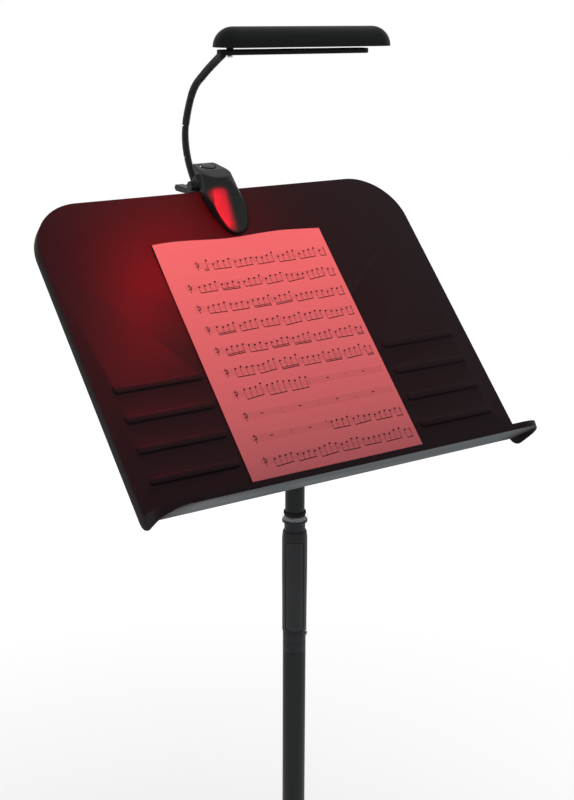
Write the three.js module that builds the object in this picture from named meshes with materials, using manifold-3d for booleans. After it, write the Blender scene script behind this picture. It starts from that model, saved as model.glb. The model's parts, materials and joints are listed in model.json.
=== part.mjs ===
// Orchestra music stand with a battery lamp clipped to its desk.
// Millimetres, +Z up, front of the desk towards -Y, origin at the bottom centre of the whole object.
import * as THREE from 'three'
import { mergeVertices } from 'three/addons/utils/BufferGeometryUtils.js'
import Module from 'manifold-3d'

const wasm = await Module()
wasm.setup()

// ---- Driving dimensions --------------------------------------------------------------------
const GAP = 0.3 // clearance between pieces that touch
const FIT = 0.2 // radial clearance of a fixed or turning round fit

// Mast
const UPPER_OD = 22.8
const UPPER_WALL = 1.2
const LOWER_OD = 27.4
const LOWER_WALL = 1.2
const COLLAR_Z = 496 // top of the lower tube, where the grip collar starts
const UPPER_FOOT_Z = 225 // bottom end of the upper tube, inside the lower one
const PIVOT_Z = 812.4 // height of the desk's tilt bolt

// Grip, heights above the collar's foot
const COLLAR_H = 26
const GRIP_H = 126
const NECK_H = 22
const GRIP_R = 14.9
const GRIP_WAIST = 14.5
const CORE_R = 13
const NECK_R = 12.3
const GRIP_TURN = -34 // degrees, which way the squeeze pad faces
const PAD_W = 20
const PAD_H = 113
const PAD_RISE = 3.4 // foot of the pad above the foot of the grip

// Base
const HUB_SEAT_Z = 95
const LEG_PIVOT_R = 40
const LEG_PIVOT_Z = 90
const LEG_REACH = 282 // radius of the leg's far end
const LEG_W = 14
const LEG_H = 18
const LEG_WALL = 1.5
const FOOT_H = 2.5 // rubber under the leg's lowest edge
const PIN_R = 4
const LEG_ANGLES = [270, 30, 150]

// Desk: x across, u up the face, n out of the face
const DESK_W = 500
const DESK_H = 387
const DESK_CORNER = 64
const DESK_FLANGE = 12
const HEEL_U = 6.2 // height at which the foot of the side flange starts to round
const SKIN = 2
const DESK_ANGLE = 45.96 // degrees between the face and the floor
const PIVOT_U = 118.6
const PIVOT_N = 30 // tilt bolt behind the face
const RIDGE_L = 108
const RIDGE_W = 10
const RIDGE_RISE = 2.6
const RIDGE_IN = 122
const RIDGE_U = 41.6
const RIDGE_PITCH = 36
const LEDGE_D = 61
const LEDGE_CORNER = 42
const LEDGE_DROP = 12 // degrees that the ledge falls towards its lip
const LIP_RISE = 5
const CHEEK_DROP = 8 // how far the ends of the ledge hang below the shelf, at the face
const CHEEK_RUN = 50 // how far out of the face they taper away
const LEDGE_FILLET = 12

// Tilt joint
const TONGUE_W = 13.4
const TONGUE_R = 12
const EAR_T = 5
const WASHER_T = 1
const BOLT_R = 3.2
const PLATE_W = 76
const PLATE_H = 90
const PLATE_T = 3
const SCREW_R = 2.5

// Sheet of music
const SHEET_W = 228.6
const SHEET_H = 304.8
const SHEET_T = 0.4
const SHEET_X = -2.6
const SHEET_U = 14.5

// Lamp clip, in desk coordinates
const CLIP_X = -4
const CLIP_W = 46
const CLIP_TOP = DESK_H + 41
const CLIP_CROWN = 0.6 // how far the back of the clip leans out at its top
const CLIP_BROW = [14.5, DESK_H + 20] // front edge of the sloping top, out of the face and up it
const CLIP_TAPER = 7.5 // how much narrower each side of the clip is at its top
const CLIP_TIP = DESK_H - 65
const CLIP_DEEP = 23
const CELL_R = 5.2
const CELL_L = 44.5
const BUTTON_A = 9.5
const BUTTON_B = 9.5
const BUTTON_RISE = 1
const JAW_PIN_U = DESK_H + 13
const JAW_PIN_N = -6
const JAW_PIN_R = 2
const JAW_BOSS_R = 6.5
const JAW_BOSS_OUT = 4.5
const EAR_W = 8
const LEVER_REACH = 38 // how far the thumb lever stands out behind the pin
const LEVER_W = 44
const LEVER_RISE = 24
const JAW_REACH = 52 // length of the rear jaw below its pin
const PAD_T = 1.5

// Gooseneck and lamp head, from the middle of the desk's top edge: right, back and up
const NECK_R_OUT = 4.6
const NECK_GAP = 0.8
const NECK_PARTS = 7
const SOCKET_L = 10
const NECK_PATH = [
  [-8, 36.48, 0.8],
  [-10.5, 44.98, 17.8],
  [-12, 54.98, 59.8],
  [-13, 32.98, 113.8],
  [-19.5, -2.02, 133.8],
  [-33, -52.02, 151.8],
  [-49, -95.42, 162.8],
]
const SHADE_X = 57.2
const SHADE_L = 232
const SHADE_D = 44
const SHADE_H = 22
const SHADE_WALL = 1.6
const SHADE_RISE = 168.60
const BAR_L = 198
const BAR_X = 44.5
const BAR_D = 20
const BAR_H = 5.6
const BAR_GAP = 2.4
const HEAD_ROLL = 0.6 // degrees that the right end of the lamp hangs low
const STEM_R = 4

const deskTop = new THREE.Vector3(0, DESK_H - PIVOT_U, PIVOT_N)
deskTop.applyAxisAngle(new THREE.Vector3(1, 0, 0), (DESK_ANGLE * Math.PI) / 180)
deskTop.z += PIVOT_Z
const neckCurve = new THREE.CatmullRomCurve3(
  NECK_PATH.map(([x, y, z]) => new THREE.Vector3(x, y, z).add(deskTop)))
const SHADE_Z = deskTop.z + SHADE_RISE

// ---- Helpers -------------------------------------------------------------------------------
const rad = (degrees) => (degrees * Math.PI) / 180

function material(color, roughness, metalness) {
  return new THREE.MeshStandardMaterial({ color, roughness, metalness })
}

const paint = material('#26282a', 0.45, 0.2)
const tubePaint = material('#232527', 0.35, 0.2)
const moulded = material('#1c1d1f', 0.5, 0)
const rubber = material('#141414', 0.85, 0)
const steel = material('#9a9ca0', 0.35, 1)
const bright = material('#d5d7da', 0.15, 1)
const redGlow = material('#ff2a20', 0.3, 0)
const paper = material('#f4f2ee', 0.9, 0)
const copper = material('#c98b4b', 0.3, 1)

// A closed solid with merged corners, no collapsed faces and its faces pointing out.
function solid(geometry) {
  const bare = new THREE.BufferGeometry()
  bare.setAttribute('position', geometry.attributes.position.clone())
  if (geometry.index) bare.setIndex(geometry.index.clone())
  const merged = mergeVertices(bare, 1e-4)
  const index = merged.index.array
  const at = merged.attributes.position.array
  const faces = []
  let volume = 0
  for (let i = 0; i < index.length; i += 3) {
    const [a, b, c] = [index[i], index[i + 1], index[i + 2]]
    if (a === b || b === c || c === a) continue
    faces.push(a, b, c)
    const [p, q, r] = [a, b, c].map((v) => new THREE.Vector3().fromArray(at, v * 3))
    volume += p.dot(q.cross(r))
  }
  if (volume < 0) faces.reverse()
  const mesh = new wasm.Mesh({
    numProp: 3,
    vertProperties: new Float32Array(at),
    triVerts: new Uint32Array(faces),
  })
  return new wasm.Manifold(mesh)
}

function toGeometry(body) {
  const { vertProperties, triVerts } = body.getMesh()
  const geometry = new THREE.BufferGeometry()
  geometry.setAttribute('position', new THREE.BufferAttribute(vertProperties, 3))
  geometry.setIndex(new THREE.BufferAttribute(triVerts, 1))
  return geometry
}

function cut(base, ...tools) {
  return toGeometry(tools.reduce((body, tool) => body.subtract(solid(tool)), solid(base)))
}

function join(...pieces) {
  return toGeometry(pieces.map(solid).reduce((body, piece) => body.add(piece)))
}

function common(...pieces) {
  return toGeometry(pieces.map(solid).reduce((body, piece) => body.intersect(piece)))
}

function at(geometry, x, y, z) {
  return geometry.clone().translate(x, y, z)
}

// A box given by its lowest and highest corners.
function block([x0, y0, z0], [x1, y1, z1]) {
  const box = new THREE.BoxGeometry(x1 - x0, y1 - y0, z1 - z0)
  return box.translate((x0 + x1) / 2, (y0 + y1) / 2, (z0 + z1) / 2)
}

// A solid of revolution about Z from [radius, height] points; a ring's profile closes on itself.
function turned(profile, sides = 32) {
  const points = profile.map(([r, z]) => new THREE.Vector2(r, z))
  return new THREE.LatheGeometry(points, sides).rotateX(Math.PI / 2)
}

function ring(inner, outer, z0, z1, sides) {
  return turned([[inner, z0], [outer, z0], [outer, z1], [inner, z1], [inner, z0]], sides)
}

function disc(radius, z0, z1, sides) {
  return turned([[0, z0], [radius, z0], [radius, z1], [0, z1]], sides)
}

// The same round pieces lying along X.
function discX(radius, x0, x1, sides) {
  return disc(radius, x0, x1, sides).rotateY(Math.PI / 2)
}

function ringX(inner, outer, x0, x1, sides) {
  return ring(inner, outer, x0, x1, sides).rotateY(Math.PI / 2)
}

function extruded(shape, depth, curveSegments = 10) {
  return new THREE.ExtrudeGeometry(shape, { depth, bevelEnabled: false, curveSegments })
}

function polygon(points) {
  return new THREE.Shape(points.map(([x, y]) => new THREE.Vector2(x, y)))
}

// A profile drawn in the Y-Z plane and pulled along X from x0 to x1.
function pulledX(points, x0, x1) {
  const bar = extruded(polygon(points), x1 - x0)
  const turn = new THREE.Matrix4().makeBasis(
    new THREE.Vector3(0, 1, 0), new THREE.Vector3(0, 0, 1), new THREE.Vector3(1, 0, 0))
  return bar.applyMatrix4(turn).translate(x0, 0, 0)
}

// A rectangle from (x0, y0) to (x1, y1) whose top and bottom corners have their own radii.
function roundedShape(x0, y0, x1, y1, top, bottom) {
  const shape = new THREE.Shape()
  shape.moveTo(x0 + bottom, y0)
  shape.lineTo(x1 - bottom, y0)
  if (bottom) shape.absarc(x1 - bottom, y0 + bottom, bottom, -Math.PI / 2, 0)
  shape.lineTo(x1, y1 - top)
  if (top) shape.absarc(x1 - top, y1 - top, top, 0, Math.PI / 2)
  shape.lineTo(x0 + top, y1)
  if (top) shape.absarc(x0 + top, y1 - top, top, Math.PI / 2, Math.PI)
  shape.lineTo(x0, y0 + bottom)
  if (bottom) shape.absarc(x0 + bottom, y0 + bottom, bottom, Math.PI, 1.5 * Math.PI)
  return shape
}

function piece(name, geometry, finish) {
  const mesh = new THREE.Mesh(geometry, finish)
  mesh.name = name
  return mesh
}

// ---- Base ----------------------------------------------------------------------------------
const LEG_SLOPE = Math.atan2(LEG_PIVOT_Z - LEG_H / 2 - FOOT_H - 3, LEG_REACH - LEG_PIVOT_R)
const LEG_L = (LEG_REACH - LEG_PIVOT_R) / Math.cos(LEG_SLOPE)
const HUB_R = LEG_PIVOT_R - LEG_H / 2 - 4
const LUG_W = LEG_W + 2 * GAP + 12
const LUG_R = LEG_PIVOT_R + LEG_H / 2 + 1
const LUG_TOP = LEG_PIVOT_Z + LEG_H / 2 + 8
const LUG_FOOT = LEG_PIVOT_Z - LEG_H / 2 - 4
const HUB_FLOOR = HUB_SEAT_Z - 11
const HUB_TOP = HUB_SEAT_Z + 35
const TUBE_SEAT = HUB_SEAT_Z + GAP
const HUB_BOLT_R = 5
const HUB_PLUG_H = 26

// A leg lies in its own frame: pivot at the origin, the leg along +X and falling by LEG_SLOPE.
function legBar(grow, length) {
  const half = LEG_H / 2 + grow
  const wide = LEG_W + 2 * grow
  const side = new THREE.Shape()
  side.moveTo(0, -half)
  side.lineTo(length, -half)
  side.lineTo(length, half)
  side.lineTo(0, half)
  side.absarc(0, 0, half, Math.PI / 2, 1.5 * Math.PI)
  const bar = extruded(side, wide, 12).rotateX(Math.PI / 2).translate(0, wide / 2, 0)
  return bar.rotateY(LEG_SLOPE)
}

function leg() {
  const bore = disc(PIN_R + FIT, -LEG_W, LEG_W, 24).rotateX(Math.PI / 2)
  const inside = [LEG_W / 2 - LEG_WALL, LEG_H / 2 - LEG_WALL]
  const hollow = block([LEG_H, -inside[0], -inside[1]], [LEG_L + 1, inside[0], inside[1]])
  return cut(legBar(0, LEG_L), bore, hollow.rotateY(LEG_SLOPE))
}

function foot() {
  const wall = 3
  const wide = LEG_W / 2 + wall
  const back = LEG_L - 26
  const low = -LEG_PIVOT_Z
  const line = (along, across) => [
    along * Math.cos(LEG_SLOPE) + across * Math.sin(LEG_SLOPE),
    -along * Math.sin(LEG_SLOPE) + across * Math.cos(LEG_SLOPE),
  ]
  const top = LEG_H / 2 + wall
  const [backX, backZ] = line(back, top)
  const [frontX, frontZ] = line(LEG_L + wall, top)
  const side = [[backX - 4, low], [frontX + 4, low], [frontX + 4, low + 6], [frontX, frontZ],
    [backX, backZ]]
  const boot = extruded(polygon(side), 2 * wide).rotateX(Math.PI / 2).translate(0, wide, 0)
  return cut(boot, legBar(GAP, LEG_L + GAP))
}

function legPin() {
  const shank = LUG_W / 2 + 1
  const pin = join(disc(PIN_R, -shank, shank, 24), disc(PIN_R + 3, -shank - 3, -shank, 24))
  return join(pin, disc(PIN_R + 2.5, shank, shank + 2.5, 24)).rotateX(Math.PI / 2)
}

function lug() {
  const side = new THREE.Shape()
  side.moveTo(0, LUG_FOOT)
  side.lineTo(LUG_R - 4, LUG_FOOT)
  side.lineTo(LUG_R, LUG_FOOT + 6)
  side.lineTo(LUG_R, LUG_TOP - 6)
  side.lineTo(LUG_R - 8, LUG_TOP)
  side.lineTo(0, LUG_TOP)
  const body = extruded(side, LUG_W).rotateX(Math.PI / 2).translate(0, LUG_W / 2, 0)
  const half = LEG_H / 2 + GAP
  const wide = LEG_W / 2 + GAP
  const slot = block([-half - 0.5, -wide, -4 * LEG_H], [4 * LEG_H, wide, half])
  const bore = disc(PIN_R + FIT, -LUG_W, LUG_W, 24).rotateX(Math.PI / 2)
  return cut(body,
    slot.rotateY(LEG_SLOPE).translate(LEG_PIVOT_R, 0, LEG_PIVOT_Z),
    at(bore, LEG_PIVOT_R, 0, LEG_PIVOT_Z))
}

function hub() {
  const neck = LOWER_OD / 2 + 6
  const body = turned([[0, LUG_FOOT], [HUB_R, LUG_FOOT], [HUB_R, LUG_TOP], [neck, HUB_TOP - 8],
    [neck, HUB_TOP], [0, HUB_TOP]])
  const lugs = LEG_ANGLES.map((angle) => lug().rotateZ(rad(angle)))
  return cut(join(body, ...lugs),
    disc(LOWER_OD / 2 + FIT, HUB_SEAT_Z, HUB_TOP + 1),
    disc(HUB_BOLT_R + FIT, 0, HUB_TOP, 24),
    disc(2 * HUB_BOLT_R + 1, 0, HUB_FLOOR, 24))
}

function hubBolt() {
  const end = TUBE_SEAT + HUB_PLUG_H - 4
  return join(disc(HUB_BOLT_R, HUB_FLOOR - GAP - 1, end, 24),
    disc(2 * HUB_BOLT_R - 1, HUB_FLOOR - GAP - 6, HUB_FLOOR - GAP, 6))
}

function tubePlug() {
  const plug = disc(LOWER_OD / 2 - LOWER_WALL - FIT, TUBE_SEAT, TUBE_SEAT + HUB_PLUG_H)
  return cut(plug, disc(HUB_BOLT_R + FIT, 0, TUBE_SEAT + HUB_PLUG_H - 3, 24))
}

function base() {
  const group = new THREE.Group()
  group.add(piece('base_hub', hub(), paint))
  group.add(piece('hub_bolt', hubBolt(), steel))
  group.add(piece('tube_plug', tubePlug(), steel))
  LEG_ANGLES.forEach((angle, i) => {
    const arm = new THREE.Group()
    arm.rotation.z = rad(angle)
    const pivot = new THREE.Group()
    pivot.position.set(LEG_PIVOT_R, 0, LEG_PIVOT_Z)
    pivot.add(piece(`leg_${i + 1}`, leg(), tubePaint))
    pivot.add(piece(`leg_foot_${i + 1}`, foot(), rubber))
    pivot.add(piece(`leg_pin_${i + 1}`, legPin(), steel))
    arm.add(pivot)
    group.add(arm)
  })
  return group
}

// ---- Mast and grip -------------------------------------------------------------------------
const GRIP_FOOT = COLLAR_Z + COLLAR_H
const GRIP_TOP = GRIP_FOOT + GRIP_H
const NECK_TOP = GRIP_TOP + NECK_H
const BORE_R = UPPER_OD / 2 + GAP
const LOWER_ID_R = LOWER_OD / 2 - LOWER_WALL
const PAD_FOOT = GRIP_FOOT + PAD_RISE
const PAD_TOP = PAD_FOOT + PAD_H
const SHOE_H = 40
const SHOE_W = 12
const WIPER_H = 4.5
const SCREW_Z = GRIP_FOOT - 4.5

function gripCore() {
  const spigot = 30
  const collar = LOWER_OD / 2
  const groove = 0.5
  const outline = [
    [BORE_R, COLLAR_Z - spigot], [LOWER_ID_R - GAP, COLLAR_Z - spigot], [LOWER_ID_R - GAP, COLLAR_Z + GAP],
    [collar, COLLAR_Z + GAP], [collar, COLLAR_Z + 13.5], [collar - groove, COLLAR_Z + 14],
    [collar - groove, COLLAR_Z + 15], [collar, COLLAR_Z + 15.5], [collar, GRIP_FOOT], [CORE_R, GRIP_FOOT],
    [CORE_R, GRIP_TOP], [NECK_R, GRIP_TOP], [NECK_R, NECK_TOP - 9.5], [GRIP_R, NECK_TOP - 8.8],
    [GRIP_R, NECK_TOP - 6.3], [NECK_R, NECK_TOP - 6.3], [NECK_R, NECK_TOP], [BORE_R, NECK_TOP],
    [BORE_R, COLLAR_Z - spigot],
  ]
  const half = PAD_W / 2 + 1
  const window = block([-half, -CORE_R - 1, PAD_FOOT], [half, -NECK_R / 2, PAD_TOP])
  const shoe = block([-SHOE_W / 2 - GAP, NECK_R / 2, PAD_TOP - SHOE_H - GAP],
    [SHOE_W / 2 + GAP, CORE_R + 1, PAD_TOP + GAP])
  const screw = discX(SCREW_R / 2 + FIT, CORE_R - 2, CORE_R + 5, 16)
  return cut(turned(outline, 36), window, shoe, at(screw, 0, 0, SCREW_Z))
}

// One half of the moulded grip; the front half has the opening for the squeeze pad.
function gripShell(front) {
  const inner = CORE_R + GAP
  const foot = GRIP_FOOT + GAP
  const outline = [
    [inner, foot], [GRIP_WAIST, foot], [GRIP_WAIST, foot + GRIP_H * 0.35], [GRIP_R, foot + GRIP_H * 0.6],
    [GRIP_R, GRIP_TOP - 10], [GRIP_WAIST, GRIP_TOP - 4], [NECK_R + 1, GRIP_TOP + 2],
    [NECK_R + GAP, GRIP_TOP + 2], [NECK_R + GAP, GRIP_TOP + GAP], [inner, GRIP_TOP + GAP], [inner, foot],
  ]
  const shell = turned(outline, 36)
  const far = 2 * GRIP_R
  const away = front ? block([-far, -GAP / 2, 0], [far, far, 2 * GRIP_TOP]) :
    block([-far, -far, 0], [far, GAP / 2, 2 * GRIP_TOP])
  if (!front) return cut(shell, away)
  const half = PAD_W / 2 + 2 * GAP
  return cut(shell, away, block([-half, -far, PAD_FOOT - GAP], [half, 0, PAD_TOP + GAP]))
}

function squeezePad() {
  const inner = CORE_R + 2 * GAP
  const outer = GRIP_WAIST + 0.2
  const skin = ring(inner, outer, PAD_FOOT + GAP, PAD_TOP - GAP, 36)
  const face = roundedShape(-PAD_W / 2, PAD_FOOT + GAP, PAD_W / 2, PAD_TOP - GAP, 4, 4)
  const window = extruded(face, 2 * GRIP_R, 6).rotateX(Math.PI / 2)
  return common(skin, window)
}

// The leaf spring that pushes the pad back out, lying just clear of the mast.
function padSpring() {
  const foot = PAD_FOOT + 14
  return block([-2.5, -BORE_R - 0.2, foot], [2.5, -BORE_R + 0.1, foot + 60])
}

function gripScrew() {
  const collar = LOWER_OD / 2
  const shank = discX(SCREW_R / 2, CORE_R - 1, collar + GAP, 16)
  return at(join(shank, discX(SCREW_R, collar + GAP, collar + GAP + 1.4, 16)), 0, 0, SCREW_Z)
}

function clutchShoe() {
  const skin = ring(BORE_R, CORE_R, PAD_TOP - SHOE_H, PAD_TOP, 36)
  const window = block([-SHOE_W / 2, 0, 0], [SHOE_W / 2, 2 * CORE_R, 2 * PAD_TOP])
  return common(skin, window)
}

function grip() {
  const group = new THREE.Group()
  group.rotation.z = rad(GRIP_TURN)
  group.add(piece('grip_core', gripCore(), moulded))
  group.add(piece('grip_shell_front', gripShell(true), moulded))
  group.add(piece('grip_shell_back', gripShell(false), moulded))
  group.add(piece('squeeze_pad', squeezePad(), moulded))
  group.add(piece('pad_spring', padSpring(), steel))
  group.add(piece('clutch_shoe', clutchShoe(), moulded))
  group.add(piece('grip_screw', gripScrew(), steel))
  return group
}

function mast() {
  const group = new THREE.Group()
  const upperTop = PIVOT_Z - TONGUE_R - 10
  const inner = UPPER_OD / 2 - UPPER_WALL
  const slider = LOWER_ID_R - GAP
  group.add(piece('lower_tube', ring(LOWER_ID_R, LOWER_OD / 2, TUBE_SEAT, COLLAR_Z, 36), tubePaint))
  group.add(piece('upper_tube', ring(inner, UPPER_OD / 2, UPPER_FOOT_Z, upperTop, 36), tubePaint))
  group.add(piece('tube_foot', turned([[0, UPPER_FOOT_Z - 15], [slider, UPPER_FOOT_Z - 15],
    [slider, UPPER_FOOT_Z - GAP], [inner - GAP, UPPER_FOOT_Z - GAP], [inner - GAP, UPPER_FOOT_Z + 18],
    [0, UPPER_FOOT_Z + 18]], 36), moulded))
  group.add(piece('grip_ring', turned([[NECK_R + GAP, NECK_TOP - 6], [GRIP_R - 0.8, NECK_TOP - 6],
    [GRIP_R + 0.3, NECK_TOP - 4.8], [GRIP_R + 0.3, NECK_TOP - 2.2], [GRIP_R - 0.8, NECK_TOP - 1],
    [NECK_R + GAP, NECK_TOP - 1], [NECK_R + GAP, NECK_TOP - 6]], 36), bright))
  const wiperTop = NECK_TOP + WIPER_H
  group.add(piece('mast_wiper', turned([[BORE_R, NECK_TOP + GAP], [CORE_R - 0.4, NECK_TOP + GAP],
    [CORE_R + 0.1, NECK_TOP + 1.5], [CORE_R + 0.1, wiperTop - 1.5], [CORE_R - 0.6, wiperTop],
    [BORE_R, wiperTop], [BORE_R, NECK_TOP + GAP]], 36), rubber))
  return group
}

// ---- Tilt joint ----------------------------------------------------------------------------
const EAR_IN = TONGUE_W / 2 + WASHER_T + 2 * GAP
const EAR_OUT = EAR_IN + EAR_T
const KNOB_R = 17
const KNOB_T = 14

function tiltFork() {
  const low = PIVOT_Z - TONGUE_R - 36
  const floor = PIVOT_Z - TONGUE_R - 10 + GAP
  const top = PIVOT_Z - TONGUE_R - 3
  const round = UPPER_OD / 2 + 3.2
  const body = join(disc(round, low, top, 36),
    block([-EAR_OUT, -round + 2, floor], [EAR_OUT, round - 2, PIVOT_Z]),
    at(discX(round - 2, -EAR_OUT, EAR_OUT), 0, 0, PIVOT_Z))
  return cut(body,
    disc(UPPER_OD / 2 + FIT, low - 1, floor, 36),
    block([-EAR_IN, -2 * round, top], [EAR_IN, 2 * round, PIVOT_Z + 2 * round]),
    at(discX(BOLT_R + FIT, -2 * EAR_OUT, 2 * EAR_OUT, 24), 0, 0, PIVOT_Z))
}

function tiltBolt() {
  const head = EAR_OUT + GAP
  return join(discX(BOLT_R, -head - 1, EAR_OUT + KNOB_T - 2, 24), discX(2 * BOLT_R, -head - 5, -head, 6))
}

function tiltKnob() {
  const start = EAR_OUT + GAP
  const lobes = []
  for (let i = 0; i < 6; i += 1) {
    const angle = rad(60 * i)
    lobes.push(at(discX(5, start + 3, start + KNOB_T, 12), 0, (KNOB_R - 5) * Math.cos(angle),
      (KNOB_R - 5) * Math.sin(angle)))
  }
  const body = join(discX(KNOB_R - 3, start + 3, start + KNOB_T, 24),
    discX(8, start, start + 4, 24), ...lobes)
  return cut(body, discX(BOLT_R + FIT, start - 1, EAR_OUT + KNOB_T - 1, 24))
}

function tilt() {
  const group = new THREE.Group()
  const near = TONGUE_W / 2 + GAP
  group.add(piece('tilt_fork', tiltFork(), paint))
  const pivot = new THREE.Group()
  pivot.position.z = PIVOT_Z
  pivot.add(piece('tilt_bolt', tiltBolt(), steel))
  pivot.add(piece('tilt_knob', tiltKnob(), moulded))
  const washer = ringX(BOLT_R + FIT, TONGUE_R - 2, near, near + WASHER_T, 32)
  pivot.add(piece('tilt_washer_right', washer, rubber))
  pivot.add(piece('tilt_washer_left', washer.clone().rotateY(Math.PI), rubber))
  group.add(pivot)
  return group
}

// ---- Desk, in coordinates x, u, n ----------------------------------------------------------
const PLATE_FACE = -SKIN - GAP
const SCREW_X = PLATE_W / 2 - 12
const SCREW_U = PLATE_H / 2 - 12

function deskOutline(inset) {
  const half = DESK_W / 2 - inset
  return roundedShape(-half, 0, half, DESK_H - inset, DESK_CORNER - inset, 0)
}

// Face plate with the rolled rim that stiffens its sides and top.
function deskShell() {
  const plate = at(extruded(deskOutline(0), SKIN + DESK_FLANGE, 12), 0, 0, -SKIN - DESK_FLANGE)
  const half = DESK_W / 2 - SKIN
  const inner = roundedShape(-half, -5, half, DESK_H - SKIN, DESK_CORNER - SKIN, 0)
  const hollow = at(extruded(inner, DESK_FLANGE + 5, 12), 0, 0, -SKIN - DESK_FLANGE - 5)
  const foot = block([-DESK_W, -1, -2 * DESK_FLANGE], [DESK_W, HEEL_U, -SKIN])
  return cut(plate, hollow, foot)
}

// The rounded foot of a side flange, where it runs into the end of the ledge.
function heel(x) {
  const round = at(discX(SKIN + DESK_FLANGE, x - SKIN / 2, x + SKIN / 2, 64), 0, HEEL_U, 0)
  const behind = block([x - SKIN, -2 * DESK_FLANGE, -2 * DESK_FLANGE], [x + SKIN, HEEL_U + 1, 0])
  return common(round, behind)
}

function ridge() {
  const half = RIDGE_W / 2
  const top = 2
  const shape = roundedShape(0, -top, RIDGE_L - 2 * (half - top), top, top, top)
  const bevel = { depth: 0.2, bevelThickness: RIDGE_RISE - 0.2, bevelSize: half - top, bevelSegments: 2,
    curveSegments: 3, steps: 1 }
  return new THREE.ExtrudeGeometry(shape, bevel).translate(half - top, 0, 0)
}

function ridges() {
  const bars = []
  for (let i = 0; i < 4; i += 1) {
    const bar = at(ridge(), RIDGE_IN, RIDGE_U + i * RIDGE_PITCH, -0.2)
    bars.push(bar, bar.clone().rotateZ(Math.PI).translate(0, 2 * (RIDGE_U + i * RIDGE_PITCH), 0))
  }
  return bars
}

// The ledge lies in its own plane first: x across, y out of the face, z square to the shelf.
function ledgePlan(inset, back) {
  const half = DESK_W / 2 - inset
  return roundedShape(-half, back, half, LEDGE_D - inset, LEDGE_CORNER - inset, 0)
}

function ledge() {
  const drop = -SKIN - CHEEK_DROP
  const wall = extruded(ledgePlan(0, -3), LIP_RISE - drop, 12).translate(0, 0, drop)
  const above = extruded(ledgePlan(SKIN, -8), LIP_RISE + 1, 12)
  const below = extruded(ledgePlan(SKIN, -8), CHEEK_DROP + 1, 12).translate(0, 0, drop - 1)
  const far = LEDGE_D + 1
  const sweep = pulledX([[-10, drop - 2], [far, drop - 2], [far, -SKIN], [CHEEK_RUN, -SKIN],
    [0, -SKIN - CHEEK_DROP], [-10, -SKIN - CHEEK_DROP]], -DESK_W, DESK_W)
  const tray = cut(wall, above, below, sweep)
  return tray.rotateX(rad(90 - LEDGE_DROP)).rotateZ(Math.PI).translate(0, SKIN, 0)
}

// The hollow curve between the face and the shelf.
function ledgeCove() {
  const slope = Math.tan(rad(LEDGE_DROP))
  const half = DESK_W / 2 - SKIN
  const cross = [[SKIN + LEDGE_FILLET, -1], [0, -1], [-LEDGE_FILLET * slope, LEDGE_FILLET]]
  const steps = 6
  for (let i = 0; i <= steps; i += 1) {
    const angle = rad(90 * i / steps)
    const out = LEDGE_FILLET * (1 - Math.sin(angle))
    cross.push([SKIN + LEDGE_FILLET * (1 - Math.cos(angle)) - out * slope, out])
  }
  return pulledX(cross, -half, half)
}

function deskPanel() {
  const side = (DESK_W - SKIN) / 2
  const body = join(deskShell(), heel(-side), heel(side), ledge(), ledgeCove(), ...ridges())
  const holes = []
  for (const x of [-SCREW_X, SCREW_X]) {
    for (const u of [-SCREW_U, SCREW_U]) holes.push(at(disc(SCREW_R + FIT, -9, 9, 20), x, PIVOT_U + u, 0))
  }
  return cut(body, ...holes)
}

function deskBracket() {
  const back = PLATE_FACE - PLATE_T
  const outline = roundedShape(-PLATE_W / 2, -PLATE_H / 2, PLATE_W / 2, PLATE_H / 2, 10, 10)
  const plate = at(extruded(outline, PLATE_T, 4), 0, 0, back)
  const web = block([-TONGUE_W / 2, -TONGUE_R, -PIVOT_N], [TONGUE_W / 2, TONGUE_R, back + 1])
  const round = at(discX(TONGUE_R, -TONGUE_W / 2, TONGUE_W / 2), 0, 0, -PIVOT_N)
  const body = join(plate, web, round)
  const holes = [at(discX(BOLT_R + FIT, -TONGUE_W, TONGUE_W, 24), 0, 0, -PIVOT_N)]
  for (const x of [-SCREW_X, SCREW_X]) {
    for (const u of [-SCREW_U, SCREW_U]) holes.push(at(disc(SCREW_R + FIT, -12, 0, 20), x, u, 0))
  }
  return cut(body, ...holes)
}

function bracketScrew() {
  const back = PLATE_FACE - PLATE_T - GAP
  return join(disc(SCREW_R, back - 1, -GAP, 20), disc(2 * SCREW_R, back - 3, back, 20))
}

function desk() {
  const group = new THREE.Group()
  group.add(piece('desk_panel', deskPanel(), paint))
  const bracket = new THREE.Group()
  bracket.position.y = PIVOT_U
  bracket.add(piece('desk_bracket', deskBracket(), paint))
  let count = 0
  for (const x of [-SCREW_X, SCREW_X]) {
    for (const u of [-SCREW_U, SCREW_U]) {
      count += 1
      const screw = piece(`bracket_screw_${count}`, bracketScrew(), steel)
      screw.position.set(x, u, 0)
      bracket.add(screw)
    }
  }
  group.add(bracket)
  const sheet = new THREE.BoxGeometry(SHEET_W, SHEET_H, SHEET_T)
  const page = piece('music_sheet', sheet, paper)
  page.position.set(SHEET_X, SHEET_U + SHEET_H / 2, 2 * GAP + SHEET_T / 2)
  group.add(page)
  return group
}

// ---- Lamp clip, in desk coordinates ----------------------------------------------------------
const CLIP_BACK = GAP + PAD_T // back of the front jaw, in front of its pad
const JAW_FACE = -SKIN - DESK_FLANGE - GAP // face of the rear jaw's pad
const CELL_FOOT = DESK_H + 15 - CELL_L
const CELL_N = CLIP_BACK + 2 + CELL_R
const BAY_HALF = 3 * (CELL_R + GAP) + 1 // room for three cells side by side
const EAR_BACK = CLIP_BACK - 0.5
const JAW_NOTCH = 11

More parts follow.
